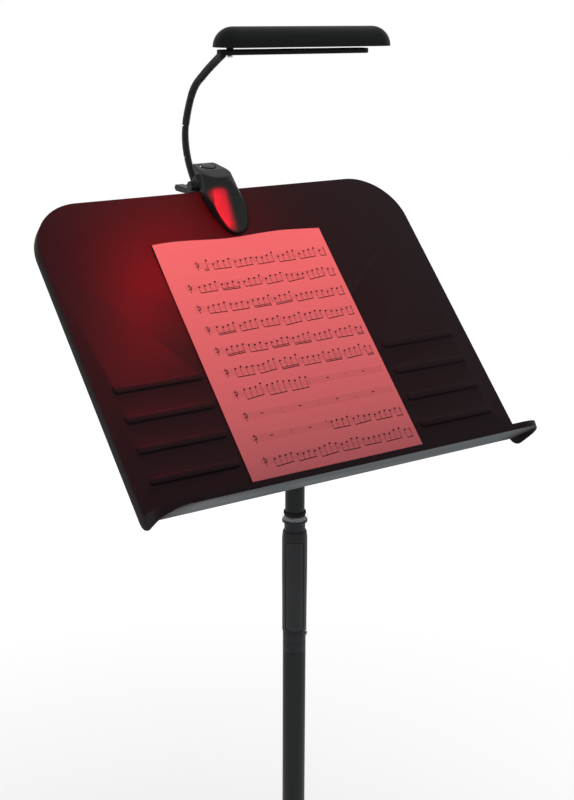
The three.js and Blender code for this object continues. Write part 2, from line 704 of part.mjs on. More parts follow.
// Front outline of the clip seen square to the desk: broad at the top, round at the tip.
function clipFront(inset) {
  const wide = CLIP_W / 2 - inset
  const tip = CLIP_TIP + inset
  const shape = new THREE.Shape()
  shape.moveTo(-wide + CLIP_TAPER + 5, CLIP_TOP - inset)
  shape.quadraticCurveTo(-wide + CLIP_TAPER, CLIP_TOP - inset, -wide + CLIP_TAPER - 1, CLIP_TOP - 5)
  shape.lineTo(-wide, DESK_H - 10)
  shape.quadraticCurveTo(-wide + 1, CLIP_TIP + 26, -wide + 12, tip + 8)
  shape.quadraticCurveTo(-wide + 18, tip, 0, tip)
  shape.quadraticCurveTo(wide - 12, tip, wide - 6, tip + 9)
  shape.quadraticCurveTo(wide, CLIP_TIP + 30, wide, DESK_H - 10)
  shape.lineTo(wide - CLIP_TAPER + 1, CLIP_TOP - 5)
  shape.quadraticCurveTo(wide - CLIP_TAPER, CLIP_TOP - inset, wide - CLIP_TAPER - 5, CLIP_TOP - inset)
  return shape
}

// Side outline: thick over the desk's edge, thin at the tip.
function clipSide(inset) {
  const back = CLIP_BACK + inset
  return [[back, CLIP_TIP - 1], [back + 4 - inset * 1.5, CLIP_TIP - 1],
    [CLIP_DEEP - 5 - inset, DESK_H - 26], [CLIP_DEEP - inset, DESK_H + 2], CLIP_BROW,
    [CLIP_CROWN, CLIP_TOP - inset], [back, DESK_H + 8]]
}

// Section across the clip: flat behind, bowed in front.
function clipSection(inset) {
  const wide = CLIP_W / 2 - inset
  const shape = new THREE.Shape()
  shape.moveTo(-wide, -60)
  shape.lineTo(wide, -60)
  shape.lineTo(wide, CLIP_DEEP - 14)
  shape.quadraticCurveTo(wide - 1, CLIP_DEEP - inset, 0, CLIP_DEEP - inset)
  shape.quadraticCurveTo(-wide + 1, CLIP_DEEP - inset, -wide, CLIP_DEEP - 14)
  return shape
}

function clipBody(inset) {
  const front = at(extruded(clipFront(inset), 90, 6), 0, 0, -60)
  const side = pulledX(clipSide(inset).map(([n, u]) => [u, n]), -CLIP_W, CLIP_W)
  const section = extruded(clipSection(inset), 200, 6).rotateX(Math.PI / 2)
  return common(front, side, at(section, 0, CLIP_TOP + 20, 0))
}

function frontJaw() {
  const wide = CLIP_W / 2
  const ear = [JAW_PIN_U - JAW_BOSS_R, JAW_PIN_U + JAW_BOSS_R]
  const out = wide + JAW_BOSS_OUT
  const boss = join(at(discX(JAW_BOSS_R, -out, out, 24), 0, JAW_PIN_U, JAW_PIN_N),
    block([-wide, ear[0], JAW_PIN_N], [wide, ear[1], CELL_N]))
  const between = block([EAR_W - wide, ear[0] - 1, JAW_PIN_N - 9], [wide - EAR_W, ear[1] + 1, EAR_BACK])
  const pin = at(discX(JAW_PIN_R + FIT, -wide - 1, wide + 1, 20), 0, JAW_PIN_U, JAW_PIN_N)
  const bay = block([-BAY_HALF, CELL_FOOT - 1, CLIP_BACK - 1],
    [BAY_HALF, CELL_FOOT + CELL_L + 1, CELL_N + CELL_R + 0.5])
  const button = onCrown(disc(1, -4, 4, 28).scale(BUTTON_A + FIT, BUTTON_B + FIT, 1))
  return cut(join(clipBody(0), cut(boss, between)), pin, bay, button)
}

// Turns a piece made about Z to stand on the middle of the clip's sloping top.
function onCrown(geometry) {
  const slope = Math.atan2(CLIP_TOP - CLIP_BROW[1], CLIP_BROW[0] - CLIP_CROWN)
  const middle = [(CLIP_TOP + CLIP_BROW[1]) / 2, (CLIP_CROWN + CLIP_BROW[0]) / 2]
  return geometry.rotateX(slope - Math.PI / 2).translate(0, ...middle)
}

function powerButton() {
  return onCrown(disc(1, -2, BUTTON_RISE, 28).scale(BUTTON_A, BUTTON_B, 1))
}

function batteryCover() {
  const half = BAY_HALF - GAP
  return block([-half, CELL_FOOT - 1 + GAP, CLIP_BACK], [half, DESK_H + 3, CLIP_BACK + 1.4])
}

function battery() {
  const nub = CELL_L - 1.5
  const can = turned([[0, 0], [CELL_R, 0], [CELL_R, nub], [2, nub], [2, CELL_L], [0, CELL_L]], 24)
  return can.rotateX(-Math.PI / 2)
}

function rearJaw() {
  const half = CLIP_W / 2 - EAR_W - GAP
  const back = JAW_FACE - PAD_T - GAP
  const outline = [[JAW_PIN_U - JAW_REACH, back - 4], [JAW_PIN_U - JAW_REACH + 4, back],
    [DESK_H + 3, back], [DESK_H + 4, JAW_PIN_N - 3], [JAW_PIN_U, JAW_PIN_N + 5], [JAW_PIN_U + 5, JAW_PIN_N],
    [JAW_PIN_U + 5, back - 2], [JAW_PIN_U - 8, back - 6], [JAW_PIN_U - JAW_REACH, back - 6]]
  const tip = JAW_PIN_N - LEVER_REACH
  const high = JAW_PIN_U + LEVER_RISE
  const lever = [[JAW_PIN_U - 4, back - 2], [JAW_PIN_U + 5, back - 2], [high + 4, tip + 5],
    [high + 3, tip], [high - 2, tip]]
  const arm = join(pulledX(outline, -half, half), pulledX(lever, -LEVER_W / 2, LEVER_W / 2))
  const notch = block([-JAW_NOTCH, JAW_PIN_U - JAW_NOTCH, tip + 4], [JAW_NOTCH, 2 * CLIP_TOP, -JAW_FACE])
  return cut(arm, notch, at(discX(JAW_PIN_R + FIT, -CLIP_W, CLIP_W, 20), 0, JAW_PIN_U, JAW_PIN_N))
}

function jawPin() {
  return at(discX(JAW_PIN_R, -CLIP_W / 2, CLIP_W / 2, 20), 0, JAW_PIN_U, JAW_PIN_N)
}

function jawSpring() {
  const coil = ringX(JAW_PIN_R + GAP, JAW_PIN_R + 2.2, 1 - JAW_NOTCH, JAW_NOTCH - 1, 24)
  return at(coil, 0, JAW_PIN_U, JAW_PIN_N)
}

// The collar that the gooseneck comes out of, held behind the clip by a short arm.
function neckSocket() {
  const toDesk = new THREE.Quaternion().setFromAxisAngle(new THREE.Vector3(1, 0, 0), -rad(DESK_ANGLE))
  const start = neckCurve.getPointAt(0).sub(new THREE.Vector3(CLIP_X, 0, PIVOT_Z)).applyQuaternion(toDesk)
  const along = neckCurve.getTangentAt(0).applyQuaternion(toDesk)
  start.add(new THREE.Vector3(0, PIVOT_U, -PIVOT_N))
  const turn = new THREE.Quaternion().setFromUnitVectors(new THREE.Vector3(0, 1, 0), along)
  const collar = new THREE.CylinderGeometry(NECK_R_OUT + 1.6, NECK_R_OUT + 2.2, SOCKET_L, 24)
  collar.translate(0, -SOCKET_L / 2 - NECK_GAP / 2, 0).applyQuaternion(turn)
  collar.translate(start.x, start.y, start.z)
  const middle = start.y - SOCKET_L / 2 - NECK_GAP
  const arm = block([start.x - 4, middle - 2, start.z], [start.x + 4, middle + 3, EAR_BACK - GAP])
  return join(collar, arm)
}

function lampClip() {
  const group = new THREE.Group()
  group.position.x = CLIP_X
  group.add(piece('front_jaw', frontJaw(), moulded))
  group.add(piece('power_button', powerButton(), moulded))
  group.add(piece('battery_cover', batteryCover(), moulded))
  for (let i = 0; i < 3; i += 1) {
    const cell = piece(`battery_${i + 1}`, battery(), copper)
    cell.position.set((i - 1) * 2 * (CELL_R + GAP), CELL_FOOT, CELL_N)
    group.add(cell)
  }
  group.add(piece('rear_jaw', rearJaw(), moulded))
  group.add(piece('jaw_pin', jawPin(), steel))
  group.add(piece('jaw_spring', jawSpring(), steel))
  group.add(piece('neck_socket', neckSocket(), moulded))
  const wide = CLIP_W / 2 - 11
  const frontPad = block([-wide, CLIP_TIP + 12, GAP], [wide, CELL_FOOT - 3, GAP + PAD_T - 0.2])
  const rearPad = block([-wide, JAW_PIN_U - JAW_REACH + 6, JAW_FACE - PAD_T], [wide, DESK_H - 4, JAW_FACE])
  group.add(piece('front_pad', frontPad, rubber))
  group.add(piece('rear_pad', rearPad, rubber))
  return group
}

// ---- Gooseneck and lamp head -----------------------------------------------------------------
const BAR_UNDER = BAR_H + BAR_GAP
const STEM_X = -BAR_L / 2 + 11
const STEM_Y = STEM_R - BAR_D / 2 + 1
const STEM_TOP = BAR_UNDER + 9
const SHADE_SCREW_R = 1.5
const NECK_END_Z = SHADE_Z - BAR_UNDER - NECK_PATH.at(-1)[0] * Math.sin(rad(HEAD_ROLL)) - GAP

// Part of a curve between two shares of its length.
class Stretch extends THREE.Curve {
  constructor(from, to) {
    super()
    this.from = from
    this.to = to
  }

  getPoint(t, target = new THREE.Vector3()) {
    return target.copy(neckCurve.getPointAt(this.from + (this.to - this.from) * t))
  }
}

function neckPart(i) {
  const half = NECK_GAP / 2 / neckCurve.getLength()
  const stretch = new Stretch(i / NECK_PARTS + half, (i + 1) / NECK_PARTS - half)
  const circle = new THREE.Shape().absarc(0, 0, NECK_R_OUT, 0, 2 * Math.PI)
  const tube = new THREE.ExtrudeGeometry(circle, { steps: 5, extrudePath: stretch, curveSegments: 6 })
  if (i < NECK_PARTS - 1) return tube
  return cut(tube, block([-SHADE_L, -SHADE_L, NECK_END_Z], [SHADE_L, SHADE_L, SHADE_Z]))
}

function capShape(length, deep) {
  return roundedShape(-length / 2, -deep / 2, length / 2, deep / 2, deep / 2 - 2, deep / 2 - 2)
}

// Upper half of a long capsule, its crown flattened or raised to the height asked for.
function dome(length, deep, height) {
  const radius = deep / 2
  const capsule = new THREE.CapsuleGeometry(radius, length - deep, 7, 28).rotateZ(Math.PI / 2)
  return capsule.scale(1, 1, height / radius)
}

function shade() {
  const below = block([-SHADE_L, -SHADE_D, -2 * SHADE_H], [SHADE_L, SHADE_D, 0])
  const inside = [SHADE_L, SHADE_D, SHADE_H].map((size, i) => size - (i < 2 ? 2 : 1) * SHADE_WALL)
  const shell = cut(dome(SHADE_L, SHADE_D, SHADE_H), dome(...inside), below)
  const stem = [BAR_X + STEM_X - SHADE_X, STEM_Y]
  const boss = common(dome(SHADE_L - 1, SHADE_D - 1, SHADE_H - 1),
    at(disc(STEM_R + 2, 1, SHADE_H, 20), ...stem, 0))
  return cut(join(shell, boss), at(disc(STEM_R + GAP, 0, STEM_TOP - BAR_UNDER + GAP, 20), ...stem, 0))
}

function lightBar() {
  const body = extruded(capShape(BAR_L, BAR_D), BAR_H, 6)
  const lens = extruded(capShape(BAR_L - 40, BAR_D - 8), 2, 6)
  const stem = at(disc(STEM_R, BAR_H - 1, STEM_TOP, 20), STEM_X, STEM_Y, 0)
  const screw = at(disc(SHADE_SCREW_R + FIT, -1, BAR_UNDER + SHADE_H, 16), STEM_X, STEM_Y, 0)
  return cut(join(body, stem), at(lens, 6, 0, -0.5), screw)
}

function shadeScrew() {
  const shank = disc(SHADE_SCREW_R, -GAP - 1, STEM_TOP - 1, 16)
  return at(join(shank, disc(2 * SHADE_SCREW_R, -GAP - 2, -GAP, 16)), STEM_X, STEM_Y, 0)
}

function lens() {
  const shape = capShape(BAR_L - 40 - 2 * GAP, BAR_D - 8 - 2 * GAP)
  return extruded(shape, 1.2, 6).translate(6, 0, 0)
}

function lampHead() {
  const group = new THREE.Group()
  group.position.set(0, deskTop.y + NECK_PATH.at(-1)[1], SHADE_Z)
  group.rotation.y = rad(HEAD_ROLL)
  group.add(piece('lamp_shade', at(shade(), SHADE_X, 0, 0), moulded))
  group.add(piece('light_bar', at(lightBar(), BAR_X, 0, -BAR_UNDER), moulded))
  group.add(piece('shade_screw', at(shadeScrew(), BAR_X, 0, -BAR_UNDER), steel))
  group.add(piece('led_lens', at(lens(), BAR_X, 0, -BAR_UNDER), redGlow))
  return group
}

function neck() {
  const group = new THREE.Group()
  for (let i = 0; i < NECK_PARTS; i += 1) group.add(piece(`neck_${i + 1}`, neckPart(i), moulded))
  return group
}

// ---- The whole stand -------------------------------------------------------------------------
function stand() {
  const whole = new THREE.Group()
  whole.add(base(), mast(), grip(), tilt(), neck(), lampHead())
  const pivot = new THREE.Group()
  pivot.position.z = PIVOT_Z
  pivot.rotation.x = rad(DESK_ANGLE)
  const face = new THREE.Group()
  face.position.set(0, -PIVOT_U, PIVOT_N)
  face.add(desk(), lampClip())
  pivot.add(face)
  whole.add(pivot)
  return whole
}

const model = new THREE.Group()
model.add(stand())
const box = new THREE.Box3().setFromObject(model)
model.children[0].position.y = -(box.min.y + box.max.y) / 2

export default model
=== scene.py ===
import json
import math

import bpy
from mathutils import Matrix, Vector

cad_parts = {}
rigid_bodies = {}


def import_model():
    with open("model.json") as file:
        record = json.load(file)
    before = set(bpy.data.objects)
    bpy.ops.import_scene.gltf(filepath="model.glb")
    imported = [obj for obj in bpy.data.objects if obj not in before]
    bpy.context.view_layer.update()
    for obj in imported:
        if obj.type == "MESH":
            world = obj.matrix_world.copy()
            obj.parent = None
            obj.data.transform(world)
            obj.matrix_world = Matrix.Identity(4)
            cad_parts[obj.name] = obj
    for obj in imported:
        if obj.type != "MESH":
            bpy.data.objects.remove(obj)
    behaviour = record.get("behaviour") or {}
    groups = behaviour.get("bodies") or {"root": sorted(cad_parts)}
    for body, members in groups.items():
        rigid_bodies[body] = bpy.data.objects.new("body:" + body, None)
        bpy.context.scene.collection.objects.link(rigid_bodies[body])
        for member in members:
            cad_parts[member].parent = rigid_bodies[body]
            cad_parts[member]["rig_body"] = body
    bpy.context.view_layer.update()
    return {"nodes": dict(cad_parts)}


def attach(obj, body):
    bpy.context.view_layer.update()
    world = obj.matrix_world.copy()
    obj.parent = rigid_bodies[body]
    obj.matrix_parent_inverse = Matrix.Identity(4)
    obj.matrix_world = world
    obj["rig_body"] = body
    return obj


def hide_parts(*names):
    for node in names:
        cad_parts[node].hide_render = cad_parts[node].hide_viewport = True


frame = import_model()
cad = frame["nodes"]

# ---- Hub and legs --------------------------------------------------------------------------------
# A cast hub takes the foot of the mast and three box-section steel legs. Each leg swings on a
# riveted pin and ends in a rubber shoe, and the metal is powder coated satin black.
HUB_EDGE = 0.0012
LEG_EDGE = 0.0016
SHOE_EDGE = 0.0014
BOLT_EDGE = 0.0004
RIVET_EDGE = 0.0006
BARELY_BENT = math.radians(34)
WELD = 1e-6


class Wire:
    """An output of one node. Arithmetic on it adds Math nodes."""

    def __init__(self, tree, socket):
        self.tree = tree
        self.socket = socket

    def node(self, kind, settings=(), inputs=(), out=0):
        made = self.tree.nodes.new(kind)
        for key, value in dict(settings).items():
            if key == "stops":
                ramp = made.color_ramp.elements
                while len(ramp) < len(value):
                    ramp.new(0.5)
                for stop, (place, colour) in zip(ramp, value):
                    stop.position = place
                    stop.color = colour
            else:
                setattr(made, key, value)
        for key, value in dict(inputs).items():
            if isinstance(value, Wire):
                self.tree.links.new(value.socket, made.inputs[key])
            else:
                made.inputs[key].default_value = value
        return Wire(self.tree, made.outputs[out])

    def math(self, operation, *values):
        return self.node("ShaderNodeMath", {"operation": operation}, enumerate(values))

    def __add__(self, other):
        return self.math("ADD", self, other)

    __radd__ = __add__

    def __sub__(self, other):
        return self.math("SUBTRACT", self, other)

    def __rsub__(self, other):
        return self.math("SUBTRACT", other, self)

    def __mul__(self, other):
        return self.math("MULTIPLY", self, other)

    __rmul__ = __mul__

    def __truediv__(self, other):
        return self.math("DIVIDE", self, other)

    def __abs__(self):
        return self.math("ABSOLUTE", self)

    def __lt__(self, other):
        return self.math("LESS_THAN", self, other)

    def __gt__(self, other):
        return self.math("GREATER_THAN", self, other)

    def floor(self):
        return self.math("FLOOR", self)

    def split(self):
        parts = self.node("ShaderNodeSeparateXYZ", {}, {0: self}).socket.node.outputs
        return [Wire(self.tree, parts[axis]) for axis in range(3)]

    def noise(self, scale, detail=2.0):
        return self.node("ShaderNodeTexNoise", {},
                         {"Vector": self, "Scale": scale, "Detail": detail})

    def stretched(self, x, y, z):
        return self.node("ShaderNodeMapping", {}, {"Vector": self, "Scale": (x, y, z)})

    def mixed(self, first, second):
        return self.node("ShaderNodeMix", {"data_type": "RGBA"},
                         {0: self, 6: first, 7: second}, out=2)

    def bump(self, depth):
        return self.node("ShaderNodeBump", {}, {"Height": self, "Distance": depth})

    def coat(self, **inputs):
        named = {key.replace("_", " "): value for key, value in inputs.items()}
        shader = self.node("ShaderNodeBsdfPrincipled", {}, named)
        end = self.tree.nodes.new("ShaderNodeOutputMaterial")
        self.tree.links.new(shader.socket, end.inputs["Surface"])


def finish(name, coordinates="Object"):
    """A new material, and the coordinates that its pattern starts from."""
    material = bpy.data.materials.new(name)
    material.use_nodes = True
    material.node_tree.nodes.clear()
    start = material.node_tree.nodes.new("ShaderNodeTexCoord")
    return material, Wire(material.node_tree, start.outputs[coordinates])


def colour(red, green, blue):
    """A colour as it looks, 0 to 255, turned into the values that a shader takes."""
    parts = [c / 255 for c in (red, green, blue)]
    return (*[c / 12.92 if c < 0.0405 else ((c + 0.055) / 1.055) ** 2.4 for c in parts], 1.0)


def none_selected():
    bpy.ops.object.select_all(action="DESELECT")


def only(obj):
    none_selected()
    obj.select_set(True)
    bpy.context.view_layer.objects.active = obj


def applied(obj, kind, **settings):
    """Adds one modifier and applies it."""
    only(obj)
    modifier = obj.modifiers.new(kind.title(), kind)
    for key, value in settings.items():
        setattr(modifier, key, value)
    bpy.ops.object.modifier_apply(modifier=modifier.name)


def rounded(obj, edge, segments=2, angle=32):
    """Rounds every corner sharper than the angle."""
    applied(obj, "BEVEL", width=edge, segments=segments, limit_method="ANGLE",
            angle_limit=math.radians(angle), harden_normals=False)
    only(obj)
    bpy.ops.object.shade_smooth_by_angle(angle=BARELY_BENT)


def fitted(obj, name, material, body, slot, *nodes):
    """Names a finished piece, coats it and hangs it on its body in place of its plain solids."""
    obj.name = name
    obj.data.name = name
    obj.data.materials.clear()
    obj.data.materials.append(material)
    if nodes:
        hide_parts(*nodes)
    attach(obj, body)
    return obj


def joined_copy(node):
    """A copy of a plain solid with its loose triangles joined into whole faces."""
    mesh = cad[node].data.copy()
    obj = bpy.data.objects.new(node + "_copy", mesh)
    bpy.context.scene.collection.objects.link(obj)
    only(obj)
    bpy.ops.object.mode_set(mode="EDIT")
    bpy.ops.mesh.select_all(action="SELECT")
    bpy.ops.mesh.remove_doubles(threshold=WELD)
    bpy.ops.mesh.dissolve_limited(angle_limit=math.radians(1))
    bpy.ops.mesh.customdata_custom_splitnormals_clear()
    bpy.ops.object.mode_set(mode="OBJECT")
    return obj


def softened(node, name, material, slot, edge, segments=2):
    """A plain solid with its corners rounded as its casting, stamping or moulding leaves them."""
    obj = joined_copy(node)
    rounded(obj, edge, segments)
    return fitted(obj, name, material, cad[node]["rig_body"], slot, node)


powder_black, at = finish("powder_black")
patches = at.noise(14, 3)
powder_black_grain = at.noise(2600, 2)
at.coat(Base_Color=patches.mixed(colour(25, 26, 28), colour(31, 31, 33)),
        Roughness=patches * 0.1 + 0.4,
        Specular_IOR_Level=0.14,
        Normal=powder_black_grain.bump(0.00002))

leg_black, at = finish("leg_black")
streaks = at.stretched(1, 1, 0.2).noise(60, 3)
at.coat(Base_Color=streaks.mixed(colour(24, 26, 27), colour(31, 33, 34)),
        Roughness=streaks * 0.12 + 0.34,
        Specular_IOR_Level=0.16,
        Normal=at.noise(1800).bump(0.00001))

shoe_rubber, at = finish("shoe_rubber")
dust = at.noise(90, 4)
at.coat(Base_Color=dust.mixed(colour(16, 16, 16), colour(38, 37, 36)),
        Roughness=0.82,
        Specular_IOR_Level=0.12,
        Normal=at.noise(900).bump(0.00006))

zinc, at = finish("zinc")
brushing = at.stretched(1, 1, 6).noise(420, 3)
at.coat(Base_Color=brushing.mixed(colour(150, 152, 156), colour(188, 189, 192)),
        Metallic=1.0,
        Roughness=brushing * 0.2 + 0.26,
        Normal=brushing.bump(0.00001))

softened("base_hub", "hub_casting", powder_black, "black_paint", HUB_EDGE, 3)
softened("hub_bolt", "hub_bolt_zinc", zinc, "zinc_steel", BOLT_EDGE)
softened("tube_plug", "tube_plug_zinc", zinc, "zinc_steel", BOLT_EDGE)
for number in (1, 2, 3):
    softened(f"leg_{number}", f"leg_bar_{number}", leg_black, "tube_paint", LEG_EDGE, 3)
    softened(f"leg_foot_{number}", f"leg_shoe_{number}", shoe_rubber, "black_rubber", SHOE_EDGE, 3)
    softened(f"leg_pin_{number}", f"leg_rivet_{number}", zinc, "zinc_steel", RIVET_EDGE)

# ---- Mast tubes ----------------------------------------------------------------------------------
# Two drawn steel tubes, one sliding in the other, painted smooth black. A moulded plug on the foot
# of the upper tube keeps it from rattling inside the lower one.
MAST_Y = 0.0336456
COLLAR = 0.496
LOWER_TUBE = (0.0137, 0.0125, 0.0953, COLLAR)
UPPER_TUBE = (0.0114, 0.0102, 0.225, 0.7904)
TUBE_EDGE = 0.0003


def turned(profile, sides=96):
    """Draws (radius, height) points up from a first ring, as on a lathe, about the mast's axis."""
    radius, height = profile[0]
    none_selected()
    bpy.ops.mesh.primitive_circle_add(vertices=sides, radius=radius, location=(0, MAST_Y, height))
    bpy.ops.object.transform_apply(location=True, rotation=True, scale=True)
    bpy.ops.object.mode_set(mode="EDIT")
    bpy.ops.mesh.select_all(action="SELECT")
    for (r0, z0), (r1, z1) in zip(profile, profile[1:]):
        bpy.ops.mesh.extrude_region_move(TRANSFORM_OT_translate={"value": (0, 0, z1 - z0)})
        bpy.ops.transform.resize(value=(r1 / r0, r1 / r0, 1), center_override=(0, MAST_Y, z1))
    bpy.ops.mesh.select_all(action="SELECT")
    bpy.ops.mesh.remove_doubles(threshold=WELD)
    bpy.ops.mesh.normals_make_consistent(inside=False)
    bpy.ops.object.mode_set(mode="OBJECT")
    return bpy.context.object


def tube(name, sizes, body, node):
    """A tube from its outer and inner radius and the heights of its two ends."""
    outer, inner, low, high = sizes
    obj = turned([(inner, low), (outer, low), (outer, high), (inner, high), (inner, low)])
    rounded(obj, TUBE_EDGE)
    return fitted(obj, name, tube_black, body, "tube_paint", node)


tube_black, at = finish("tube_black")
draw_lines = at.stretched(1, 1, 0.02).noise(900, 2)
at.coat(Base_Color=draw_lines.mixed(colour(23, 25, 26), colour(29, 31, 32)),
        Roughness=draw_lines * 0.08 + 0.32,
        Specular_IOR_Level=0.16,
        Normal=at.noise(1500).bump(0.000006))

tube("mast_lower_tube", LOWER_TUBE, "base", "lower_tube")
tube("mast_upper_tube", UPPER_TUBE, "mast", "upper_tube")

# ---- Squeeze grip --------------------------------------------------------------------------------
# A moulded sleeve on top of the lower tube. Its two halves close over a core with a neck, and the
# pad in the front half frees the clutch that holds the mast. A clear ring and a wiper top it off.
GRIP_FOOT = 0.522
GRIP_TOP = 0.648
NECK_TOP = 0.670
COLLAR_R = 0.0137
GROOVE_R = 0.0133
SPIGOT_R = 0.0122
SPIGOT_LENGTH = 0.03
CORE_R = 0.013
NECK_R = 0.0123
FLANGE_R = 0.0149
FLANGE_FOOT = 0.6605
FLANGE_TOP = 0.6637
BORE_R = 0.0117
GRIP_R = 0.0149
GRIP_BELLY = 0.0148
GRIP_WAIST = 0.0145
SHELL_IN = 0.0133
SHELL_LIP = 0.0127
SHELL_PLAY = 0.0003
PAD_TURN = math.radians(-34)
PAD_HALF = 0.010
PAD_LOW = 0.5257
PAD_HIGH = 0.6381
PAD_PLAY = 0.0006
PAD_SKIN = (0.0136, 0.0147)
PAD_CORNER = 0.004
SEAM = (0.0012, 0.0003, 0.2)
SEAM_MIDDLE = 0.58
RING_FOOT = 0.664
RING_TOP = 0.669
RING_IN = 0.0126
RING_R = 0.0152
WIPER_FOOT = 0.6703
WIPER_TOP = 0.6745
WIPER_R = 0.0131


PAD_FRAME = Matrix.Translation((0, MAST_Y, 0)) @ Matrix.Rotation(PAD_TURN, 4, "Z")


def facing_slab(half, low, high, depth, corner):
    """A rounded slab from the mast's axis out through the pad, for cutting with."""
    none_selected()
    bpy.ops.mesh.primitive_cube_add(size=1)
    block = bpy.context.object
    block.scale = (2 * half, depth, high - low)
    block.location = (0, -depth / 2, (low + high) / 2)
    bpy.ops.object.transform_apply(location=True, rotation=True, scale=True)
    bpy.ops.object.mode_set(mode="EDIT")
    bpy.ops.mesh.select_all(action="DESELECT")
    bpy.ops.object.mode_set(mode="OBJECT")
    for edge in block.data.edges:
        a, b = [block.data.vertices[v].co for v in edge.vertices]
        edge.select = abs((a - b).normalized().y) > 0.9
    bpy.ops.object.mode_set(mode="EDIT")
    bpy.ops.mesh.bevel(offset=corner, segments=8)
    bpy.ops.object.mode_set(mode="OBJECT")
    block.data.transform(PAD_FRAME)
    return block


def cut_with(obj, tool, operation="DIFFERENCE"):
    applied(obj, "BOOLEAN", object=tool, operation=operation, solver="EXACT")
    bpy.data.objects.remove(tool)


moulding, at = finish("moulding")
tone = at.noise(30, 3)
at.coat(Base_Color=tone.mixed(colour(28, 29, 31), colour(34, 35, 37)),
        Roughness=tone * 0.1 + 0.4,
        Specular_IOR_Level=0.16,
        Normal=at.noise(3200).bump(0.000016))

pad_black, at = finish("pad_black")
tone = at.noise(40, 3)
at.coat(Base_Color=tone.mixed(colour(30, 31, 33), colour(36, 37, 39)),
        Roughness=tone * 0.08 + 0.3,
        Specular_IOR_Level=0.2,
        Normal=at.noise(2400).bump(0.00001))

clear_ring, at = finish("clear_ring")
cloud = at.noise(200, 2)
at.coat(Base_Color=cloud.mixed(colour(196, 202, 206), colour(224, 228, 230)),
        Roughness=0.12,
        Coat_Weight=0.6,
        Alpha=0.14)

core = turned([(BORE_R, COLLAR - SPIGOT_LENGTH), (SPIGOT_R, COLLAR - SPIGOT_LENGTH),
               (SPIGOT_R, COLLAR + SHELL_PLAY), (COLLAR_R, COLLAR + SHELL_PLAY),
               (COLLAR_R, COLLAR + 0.0137), (GROOVE_R, COLLAR + 0.0140),
               (GROOVE_R, COLLAR + 0.0148), (COLLAR_R, COLLAR + 0.0151), (COLLAR_R, GRIP_FOOT),
               (CORE_R, GRIP_FOOT), (CORE_R, PAD_LOW - 0.001), (NECK_R, PAD_LOW - 0.0008),
               (NECK_R, PAD_HIGH + 0.0008), (CORE_R, PAD_HIGH + 0.001), (CORE_R, GRIP_TOP),
               (NECK_R, GRIP_TOP), (NECK_R, FLANGE_FOOT), (FLANGE_R, FLANGE_FOOT + 0.0007),
               (FLANGE_R, FLANGE_TOP), (NECK_R, FLANGE_TOP), (NECK_R, NECK_TOP),
               (BORE_R, NECK_TOP), (BORE_R, COLLAR - SPIGOT_LENGTH)])
rounded(core, 0.0003)
fitted(core, "grip_core_moulding", moulding, "base", "black_plastic", "grip_core")

sleeve = turned([(SHELL_IN, GRIP_FOOT + SHELL_PLAY), (GRIP_WAIST - 0.0005, GRIP_FOOT + SHELL_PLAY),
                 (GRIP_WAIST, GRIP_FOOT + 0.001), (GRIP_WAIST, GRIP_FOOT + 0.023),
                 (0.0146, GRIP_FOOT + 0.043), (GRIP_BELLY, GRIP_FOOT + 0.063),
                 (GRIP_R, GRIP_FOOT + 0.078), (GRIP_R, GRIP_TOP - 0.012),
                 (GRIP_BELLY, GRIP_TOP - 0.007), (GRIP_WAIST, GRIP_TOP - 0.0035),
                 (0.0140, GRIP_TOP + 0.0005), (0.0134, GRIP_TOP + 0.0019),
                 (SHELL_LIP, GRIP_TOP + 0.002), (SHELL_LIP, GRIP_TOP + SHELL_PLAY),
                 (SHELL_IN, GRIP_TOP + SHELL_PLAY), (SHELL_IN, GRIP_FOOT + SHELL_PLAY)], 128)
cut_with(sleeve, facing_slab(PAD_HALF + PAD_PLAY, PAD_LOW - PAD_PLAY, PAD_HIGH + PAD_PLAY, 0.03,
                             PAD_CORNER + PAD_PLAY))
for side in (-1, 1):
    none_selected()
    bpy.ops.mesh.primitive_cube_add(size=1)
    seam = bpy.context.object
    seam.data.transform(PAD_FRAME @ Matrix.Translation((side * GRIP_R, 0, SEAM_MIDDLE))
                        @ Matrix.Diagonal((*SEAM, 1)))
    cut_with(sleeve, seam)
rounded(sleeve, 0.00025)
fitted(sleeve, "grip_sleeve", moulding, "base", "black_plastic",
       "grip_shell_front", "grip_shell_back")

pad_in, pad_out = PAD_SKIN
pad = turned([(pad_in, PAD_LOW - 0.002), (pad_out, PAD_LOW - 0.002), (pad_out, PAD_HIGH + 0.002),
              (pad_in, PAD_HIGH + 0.002), (pad_in, PAD_LOW - 0.002)], 128)
cut_with(pad, facing_slab(PAD_HALF, PAD_LOW, PAD_HIGH, 0.03, PAD_CORNER), "INTERSECT")
rounded(pad, 0.0004, 3)
fitted(pad, "squeeze_pad_moulding", pad_black, "pad", "black_plastic", "squeeze_pad")

ring = turned([(RING_IN, RING_FOOT), (RING_IN + 0.0015, RING_FOOT),
               (RING_R - 0.0004, RING_FOOT + 0.0004), (RING_R, RING_FOOT + 0.0013),
               (RING_R, RING_TOP - 0.0013), (RING_R - 0.0004, RING_TOP - 0.0004),
               (RING_IN + 0.0015, RING_TOP), (RING_IN, RING_TOP), (RING_IN, RING_FOOT)])
rounded(ring, 0.0002)
fitted(ring, "grip_clear_ring", clear_ring, "base", "clear_ring", "grip_ring")

wiper = turned([(BORE_R, WIPER_FOOT), (WIPER_R - 0.0005, WIPER_FOOT),
                (WIPER_R, WIPER_FOOT + 0.0009), (WIPER_R, WIPER_TOP - 0.0010),
                (WIPER_R - 0.0003, WIPER_TOP - 0.0004), (WIPER_R - 0.0009, WIPER_TOP),
                (BORE_R, WIPER_TOP), (BORE_R, WIPER_FOOT)])
rounded(wiper, 0.0002)
fitted(wiper, "mast_wiper_rubber", shoe_rubber, "base", "black_rubber", "mast_wiper")

